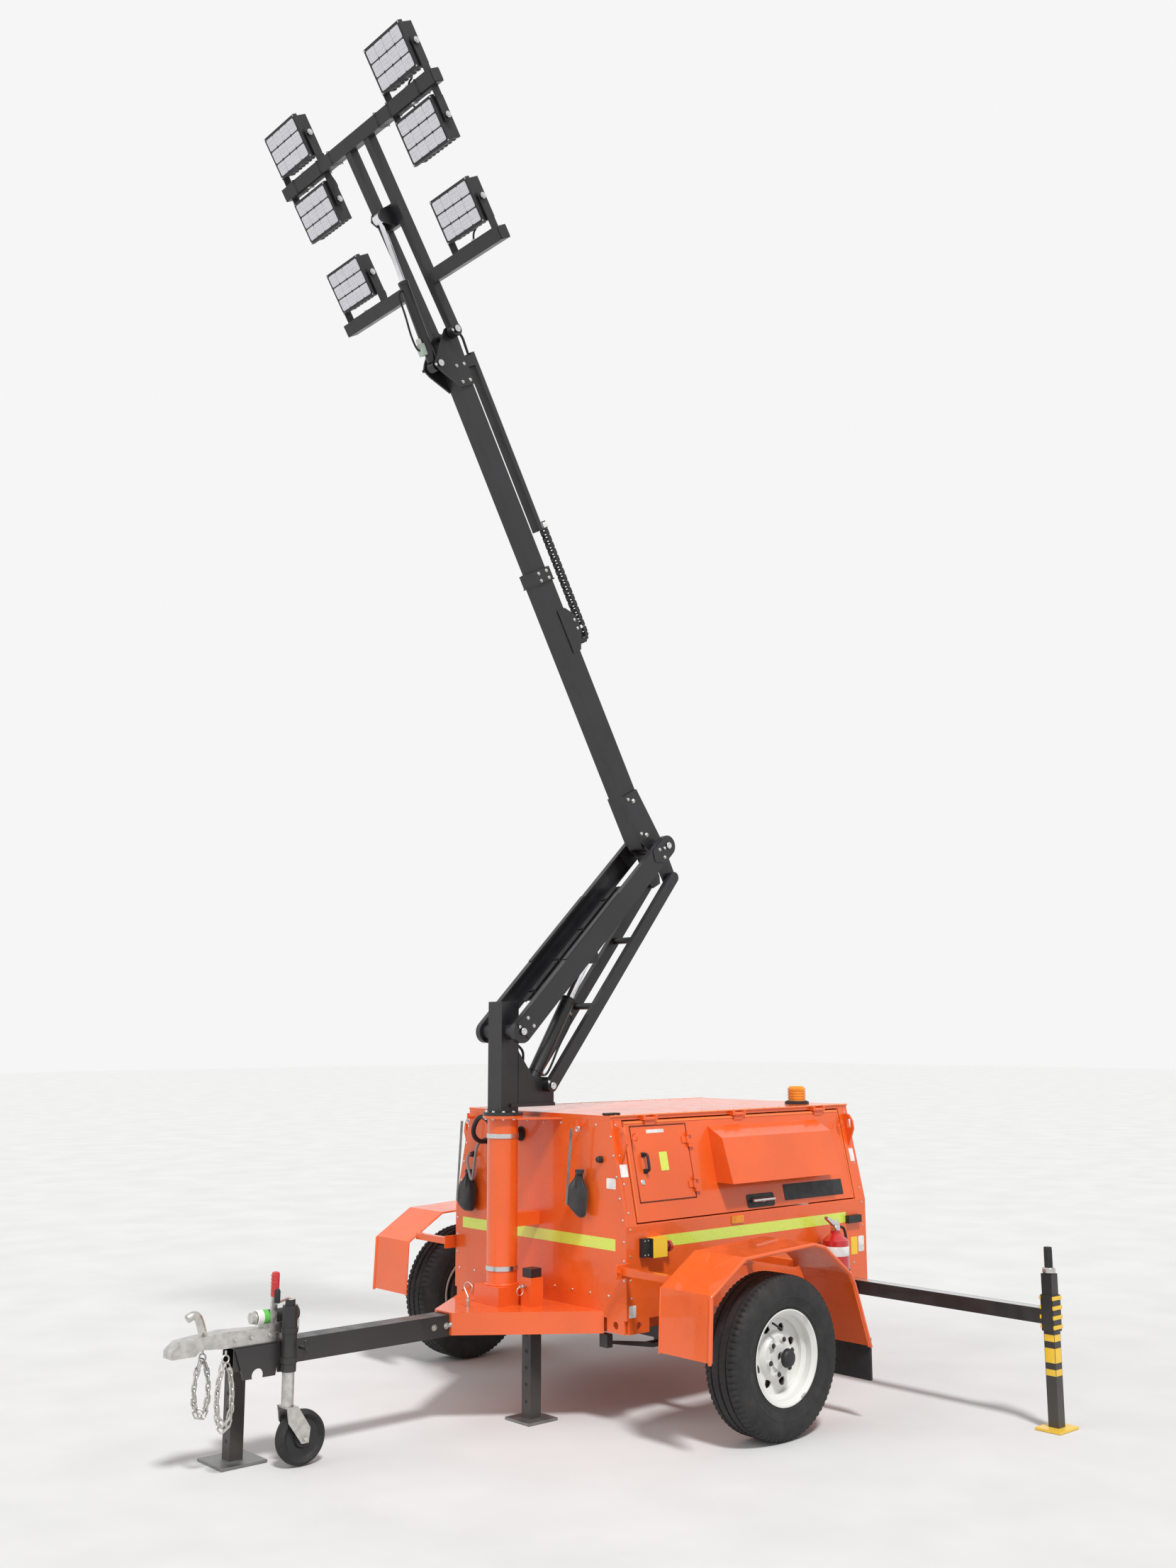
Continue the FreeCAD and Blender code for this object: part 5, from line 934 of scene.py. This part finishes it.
clip = smooth_path([(X(795), y, z) for y, z in (
    (0.0, 0.52), (0.03, 0.566), (0.0, 0.585), (-0.03, 0.566), (0.0, 0.522))], 8)
fixed("lock_pins", zinc, lock_pin((X(1850), -0.193, 0.44), ACROSS, 0.1),
      lock_pin((X(560) + 0.056, 0.158, 0.565), -AHEAD, 0.1), lock_pin((X(795), 0.0, 0.505), -UP, 0.04, 0.0),
      pipe(clip, 0.0022, 8))
fixed("frame_bolts", zinc, cross_bolts((945, 1010), 0.0455, 0.425, 0.01, 0.008),
      [bolt((X(930), y, 0.43), AHEAD, 0.009, 0.007) for y in (-0.054, 0.054)])
for name, side, place in (("left", 1, -1010), ("right", -1, -1090)):
    leg, arm, x = name + "_outrigger_leg", name + "_outrigger_arm", X(place)
    foot = V(x, side * 1.785, 0)
    piece(name + "_leg_stripes", leg, yellow, [
        plate(rounded(0.0504, 0.0504, 0.003), Matrix.Translation(foot + UP * low), high - low)
        for low, high in ((0.22, 0.246), (0.273, 0.333), (0.361, 0.3885))])
    jack = foot + UP * 0.64
    piece(name + "_jack_head", leg, zinc,
          turned(jack + UP * 0.001, UP, [(0.024, 0), (0.028, 0.003), (0.028, 0.02), (0.024, 0.024)], 30),
          block(jack + V(-0.012, side * 0.01 - 0.012, 0.004), jack + V(0.012, side * 0.01 + 0.012, 0.02), 0.002))
    piece(name + "_jack_grip", leg, rubber,
          [ring_of(jack + UP * (0.034 + 0.008 * n), UP, 0.0172, 0.0016, 24) for n in range(9)])
    # A thin bright steel layer over the arm's whole top face: a painted highlight where the light falls on the top.
    piece(name + "_arm_top_highlight", arm, steel, tile((x, side * 1.1825, 0.493), UP, ACROSS, 1.13, 0.05, 0.0002, 0.004))
    collar = foot + UP * 0.402
    piece(name + "_arm_collar", arm, yellow, [
        block(collar + V(-0.0345, s * 0.0315 - 0.003, z), collar + V(0.0345, s * 0.0315 + 0.003, z + 0.016), 0.001)
        for s in (-1, 1) for z in (0.01, 0.05, 0.09, 0.13)])
    fixed(name + "_arm_pin", zinc, lock_pin((x, side * 0.58, 0.53), -UP, 0.03, 0.0),
          [bolt((x + dx, side * 0.6155, 0.44), (0, side, 0), 0.007, 0.005) for dx in (-0.05, 0.05)])


# Turret, booms and cylinders

valve = V(0.024, 0, 1.353)
coils, fittings = [], []
for n in range(3):
    for m in (-1, 1):
        coils.append(turned(valve + V(0, m * 0.017, 0.018 + 0.03 * n), -AHEAD,
                            [(0.012, 0), (0.012, 0.02), (0.009, 0.022), (0.006, 0.026)], 20))
        spot = valve + V(0.02 + 0.018 * n, m * 0.018, 0.0965)
        fittings += [turned(spot, UP, [(0.009, 0), (0.009, 0.008)], 6),
                     turned(spot + UP * 0.0075, UP, [(0.0065, 0), (0.0065, 0.012)], 16)]
piece("valve_coils", "turret", dark, coils)
piece("valve_fittings", "turret", zinc, fittings)
for (name, side), x, z in zip(SIDES, (0.04, 0.038), ((1.56, 1.6, 1.62), (1.545, 1.575, 1.59))):
    hose("valve_hose_" + name, "turret", rubber, [
        (0.044, side * 0.018, 1.465), (0.044, side * 0.018, 1.5), (x, side * 0.03, z[0]), (0.052, side * 0.037, z[1]),
        (0.086, side * 0.037, z[2])], 0.006)


def caps(name, body, matrix, x, y, z):
    """Both bright ends of a pin, each with its keeper's bolt."""
    radius, shapes = 0.0165, []
    rows = [(radius, 0), (radius, 0.003), (radius * 0.92, 0.0045), (0.004, 0.0045), (0.003, 0.0035), (0, 0.0035)]
    for s in (1, -1):
        shapes += [turned(matrix @ V(x, s * y, z), (0, s, 0), rows, 32),
                   bolt(matrix @ V(x + 0.03, s * (y - 0.0038), z), (0, s, 0), 0.0055, 0.004)]
    piece(name, body, steel, shapes)


def boom_bolts(spots, y, size, height):
    """Bolt heads on both sides of the upper boom."""
    return [bolt(BOOM @ V(x, s * y, z), (0, s, 0), size, height) for s in (1, -1) for x, z in spots]


caps("foot_pin_caps", "turret", ARM, 0, 0.151, 0)
caps("elbow_pin_caps", "upper_boom", BOOM, 0, 0.151, 0)
caps("head_pin_caps", "fly_boom", BOOM, 0.013, 0.105, 2.738)
caps("tilt_pin_caps", "fly_boom", BOOM, 0.15, 0.056, 2.612)
caps("link_pin_caps", "turret", LINK, 0, 0.105, 0)
HOSE_LINE = ((-0.036, 0.24), (-0.036, 0.29), (-0.034, 0.45), (-0.0345, 0.65), (-0.034, 0.85), (-0.036, 1.02),
             (-0.036, 1.07))
for name, side in SIDES:
    piece(name + "_boom_bolts", "lower_boom", zinc, [
        bolt(ARM @ V(x, side * 0.147, z), (0, side, 0), 0.0065, 0.005)
        for z in (0.062, 1.265) for x in (0.025, -0.025)])
    piece(name + "_hose_clips", "lower_boom", dark, placed(ARM, [
        block((-0.045, side * 0.088 - 0.016, z), (-0.024, side * 0.088 + 0.016, z + 0.014), 0.002)
        for z in (0.3, 0.52, 0.74, 0.96)]))
    for n, y in enumerate((0.08, 0.096)):
        hose("%s_boom_hose_%d" % (name, n + 1), "lower_boom", rubber,
             along(ARM, [(x, side * y, z) for x, z in HOSE_LINE]), 0.006)
piece("lift_gland", "lift_barrel", black, placed(LIFT, turned((0, 0, 0.44), UP, [
    (0.034, 0), (0.036, 0.002), (0.036, 0.022), (0.028, 0.026), (0.0205, 0.026)], 44),
    ring_of((0, 0, 0.06), UP, 0.0345, 0.003)))
port = [(0.01, 0), (0.01, 0.01), (0.007, 0.012), (0.007, 0.02)]
piece("lift_ports", "lift_barrel", zinc, placed(LIFT, [
    turned((-0.033, 0, z), -AHEAD, port, 6) for z in (0.075, 0.405)]))
hose("lift_hose", "lift_barrel", rubber, along(LIFT, (
    (-0.05, 0, 0.405), (-0.066, 0, 0.4), (-0.07, 0, 0.34), (-0.062, 0, 0.24), (-0.07, 0, 0.14), (-0.066, 0, 0.08),
    (-0.05, 0, 0.075))), 0.0055)
piece("tilt_gland", "tilt_barrel", black, placed(TILT, turned((0, 0, 0.398), UP, [
    (0.025, 0), (0.027, 0.002), (0.027, 0.016), (0.02, 0.02), (0.0135, 0.02)], 40)))
piece("tilt_valve", "tilt_barrel", mint, placed(TILT, block((0.024, -0.018, 0.06), (0.052, 0.018, 0.115), 0.003)))
piece("tilt_valve_cap", "tilt_barrel", white, placed(TILT, turned((0.038, 0, 0.115), UP, [
    (0.013, 0), (0.013, 0.022), (0.01, 0.026), (0, 0.027)], 24)))
hose("tilt_hose", "tilt_barrel", rubber, along(TILT, (
    (0.052, 0, 0.088), (0.066, 0, 0.088), (0.072, 0, 0.16), (0.058, 0, 0.27), (0.06, 0, 0.352), (0.04, 0, 0.372),
    (0.0245, 0, 0.374))), 0.005)
piece("upper_boom_bolts", "upper_boom", zinc,
      boom_bolts([(x, z) for z in (1.478, 1.515) for x in (0.007, 0.063)], 0.056, 0.0065, 0.005),
      boom_bolts([(0.035, 0.085), (0.035, 0.275)], 0.062, 0.0085, 0.006),
      boom_bolts([(0.065, 0.105), (0.065, 0.295)], 0.062, 0.0065, 0.005))
corners = [(0.035 + 0.0575 * cx, 0.0575 * cy, 1.464) for cx, cy in ((1, 1), (-1, 1), (-1, -1), (1, -1))]
piece("boom_weld", "upper_boom", black, placed(BOOM, pipe(corners, 0.004, 8, closed=True)))


# Energy chain: a bend on its own body and a run that the fly boom holds

def links(points, name, body, **more):
    """Chain links along a line in the boom's frame: two side plates, two crossbars and a pin each."""
    shapes, line = [], [Vector(p) for p in points]
    for a, b in zip(line, line[1:]):
        size = (b - a).length
        half = size * 0.22
        shapes.append(placed(
            facing((a + b) / 2, ACROSS, b - a),
            [plate(rounded(size * 0.97, 0.023, 0.007, 3), Matrix.Translation((0, 0, z)), 0.005, 0.0008)
             for z in (-0.0215, 0.0165)],
            [block((-half, y - 0.0015, -0.017), (half, y + 0.0015, 0.017), 0.0005) for y in (-0.01, 0.01)],
            turned((size * 0.5, 0, -0.022), UP, [(0.0045, 0), (0.0045, 0.044)], 12)))
    return piece(name, body, dark, placed(BOOM, shapes), **more)


outer_x, inner_x, bend_z, tray_z = -0.131, -0.06, 1.15, 1.706
run_z, run_links = bend_z + 0.034, 15
bend = arc(((outer_x + inner_x) / 2, 0, bend_z), AHEAD, UP, (inner_x - outer_x) / 2, 180, 360, 6)
links([(outer_x, 0, run_z)] + bend + [(inner_x, 0, bend_z + 0.02)], "chain_bend_links", "chain_bend",
      stands_for=("energy_chain",))
outer_run = links([(outer_x, 0, run_z + (tray_z - run_z) * n / run_links) for n in range(run_links + 1)],
                  "chain_outer_run", "fly_boom")
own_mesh(outer_run)
piece("chain_clamp", "fly_boom", white, placed(BOOM, block((-0.147, -0.0255, 1.712), (-0.116, 0.0255, 1.74), 0.002)))
piece("chain_end_bolts", "upper_boom", zinc, boom_bolts([(-0.05, 1.19), (-0.05, 1.235)], 0.0555, 0.006, 0.004))
for name, side in SIDES:
    piece(name + "_tray_edge", "fly_boom", steel, placed(BOOM, block(
        (-0.1065, side * 0.0265 - 0.002, 1.716), (-0.1035, side * 0.0265 + 0.002, 2.62), 0.0008)))
piece("tray_cables", "fly_boom", rubber, placed(BOOM, [
    pipe([(-0.098, y, 1.73), (-0.0985, y, 2.2), (-0.098, y, 2.605)], 0.0035, 10) for y in (-0.012, 0, 0.012)]))
hose("head_cable", "fly_boom", rubber, along(BOOM, (
    (-0.088, 0, 2.63), (-0.09, 0, 2.665), (-0.085, 0.01, 2.72), (-0.045, 0.02, 2.745), (-0.022, 0.03, 2.715),
    (-0.012, 0.04, 2.66))), 0.0065)
piece("head_bolts", "fly_boom", zinc,
      boom_bolts([(x, z) for z in (2.5, 2.58) for x in (0.01, 0.06)], 0.0522, 0.0065, 0.005))


# Light frame and lamps

LAMP_Y, TILE_WIDE, TILE_TALL = 0.445, 0.0625, 0.0615
# Each row's middle, its yokes' seat on the bar, and the side of the bar on which the lamps stand
LAMP_ROWS = ((1.137, 1.000, 1), (0.806, 0.94, -1), (0.438, 0.29, 1))
OPTIC = [(0.0052, 0), (0.0044, 0.0014), (0.0024, 0.0022), (0, 0.0024)]

piece("bar_end_caps", "light_frame", dark, placed(HEAD, [
    tile((0, s * 0.63, z), (0, s, 0), AHEAD, 0.056, 0.056, 0.004, 0.006) for z in (0.97, 0.26) for s in (1, -1)]))
lenses, optics, yoke_bolts, rims, lids = [], [], [], [], []
for row, (z, seat, up) in enumerate(LAMP_ROWS):
    for name, s in SIDES:
        y = s * LAMP_Y
        for spot in [V(0.036, y + (i - 1.5) * TILE_WIDE, z + (j - 1) * TILE_TALL) for j in range(3) for i in range(4)]:
            lenses.append(tile(spot, AHEAD, ACROSS, 0.062, 0.056, 0.0032, 0.0075))
            optics += [turned(spot + V(0.0032, (q - 1.5) * 0.0135, (p - 1) * 0.0165), AHEAD, OPTIC, 10)
                       for q in range(4) for p in range(3)]
        for a in (-1, 1):
            yoke_bolts.append(bolt((0, y + a * 0.1585, z), (0, a, 0), 0.011, 0.006))
            rims += [dome((0.036, y + a * 0.1315, z + b * 0.0965), AHEAD, 0.004) for b in (-1, 1)]
        yoke_bolts += [bolt((x, y, seat + up * 0.0052), (0, 0, up), 0.0075, 0.005) for x in (-0.012, 0.012)]
        lids.append(tile((-0.058, y, z), -AHEAD, ACROSS, 0.092, 0.105, 0.003, 0.008))
        exit_y, end_y = y - s * 0.03, y - s * 0.085
        hose("lamp_cable_%d_%s" % (row + 1, name), "light_frame", rubber, along(HEAD, (
            (-0.06, exit_y, z - up * 0.035), (-0.082, exit_y, z - up * 0.035), (-0.105, y - s * 0.05, z - up * 0.075),
            (-0.088, end_y, (z + seat) / 2 - up * 0.02), (-0.062, end_y, seat - up * 0.03),
            (-0.03, end_y, seat - up * 0.03))), 0.0045)
for name, material, shapes in (("lamp_lenses", lens, lenses), ("lamp_optics", optic, optics),
                               ("lamp_bolts", steel, yoke_bolts),
                               ("lamp_rim_screws", zinc, rims), ("driver_lids", dark, lids)):
    piece(name, "light_frame", material, placed(HEAD, shapes))
piece("cable_ties", "light_frame", dark, placed(HEAD, [
    pipe([(0.034, y, 1.004), (-0.034, y, 1.004), (-0.034, y, 0.936), (0.034, y, 0.936)], 0.0022, 8, closed=True)
    for y in (-0.52, -0.3, -0.2, 0.2, 0.3, 0.52)]))
piece("frame_loom", "light_frame", rubber, placed(HEAD, [pipe(ends, 0.006, 10) for ends in (
    [(-0.036, -0.53, 0.968), (-0.036, -0.08, 0.968)], [(-0.036, 0.08, 0.968), (-0.036, 0.53, 0.968)],
    [(-0.031, 0.077, 0.06), (-0.031, 0.077, 0.94)])]))


# Light, floor and camera

def stage():
    s = Shader("pale_floor")
    s.set(colour=s.ramp(s.noise(2.0, 3), (0.66, 0.66, 0.655), (0.7, 0.7, 0.695)), rough=0.9)
    size = 60.0
    mesh = bpy.data.meshes.new("floor")
    mesh.from_pydata([(-size, -size, 0), (size, -size, 0), (size, size, 0), (-size, size, 0)], [], [(0, 1, 2, 3)])
    floor = bpy.data.objects.new("floor", mesh)
    floor.location.z = -0.002
    mesh.materials.append(s.material)
    bpy.context.scene.collection.objects.link(floor)

    world = bpy.data.worlds.new("studio")
    world.use_nodes = True
    bpy.context.scene.world = world
    tree = world.node_tree
    back = tree.nodes["Background"]
    rays = tree.nodes.new("ShaderNodeLightPath")
    seen = rays.outputs["Is Camera Ray"]
    for ray in ("Is Glossy Ray", "Is Transmission Ray"):
        either = tree.nodes.new("ShaderNodeMath")
        either.operation = "MAXIMUM"
        tree.links.new(seen, either.inputs[0])
        tree.links.new(rays.outputs[ray], either.inputs[1])
        seen = either.outputs[0]
    level = tree.nodes.new("ShaderNodeMapRange")
    level.inputs["To Min"].default_value = 0.48
    level.inputs["To Max"].default_value = 0.92
    tree.links.new(seen, level.inputs["Value"])
    tree.links.new(level.outputs[0], back.inputs["Strength"])
    back.inputs["Color"].default_value = (1, 1, 1, 1)

    for name, aim, power, angle in (("key", (-0.35, -0.8, -1.3), 2.5, 9), ("fill", (-1.0, 0.3, -0.7), 0.7, 40)):
        sun = bpy.data.lights.new(name, "SUN")
        sun.energy = power
        sun.angle = radians(angle)
        lamp = bpy.data.objects.new(name, sun)
        lamp.rotation_mode = "QUATERNION"
        lamp.rotation_quaternion = Vector(aim).to_track_quat("-Z", "Y")
        bpy.context.scene.collection.objects.link(lamp)


CAMERA_PLACE = (4.432, 5.434, 1.674)
CAMERA_YAW, CAMERA_PITCH, CAMERA_ROLL = -131.59, 9.61, -0.1
PHOTO_HEIGHT, PHOTO_FOCAL = 2212, 2073


def camera():
    data = bpy.data.cameras.new("camera")
    data.sensor_width = 36
    data.lens = PHOTO_FOCAL / PHOTO_HEIGHT * data.sensor_width
    data.clip_end = 200
    seen = bpy.data.objects.new("camera", data)
    yaw, pitch, roll = (radians(a) for a in (CAMERA_YAW, CAMERA_PITCH, CAMERA_ROLL))
    ahead = Vector((cos(yaw) * cos(pitch), sin(yaw) * cos(pitch), sin(pitch)))
    right = Vector((sin(yaw), -cos(yaw), 0))
    up = right.cross(ahead)
    side = right * cos(roll) + up * sin(roll)
    top = up * cos(roll) - right * sin(roll)
    turn = Matrix((side, top, -ahead)).transposed()
    seen.matrix_world = Matrix.Translation(CAMERA_PLACE) @ turn.to_4x4()
    bpy.context.scene.collection.objects.link(seen)
    bpy.context.scene.camera = seen


stage()
camera()
bpy.context.scene.view_settings.view_transform = "Standard"
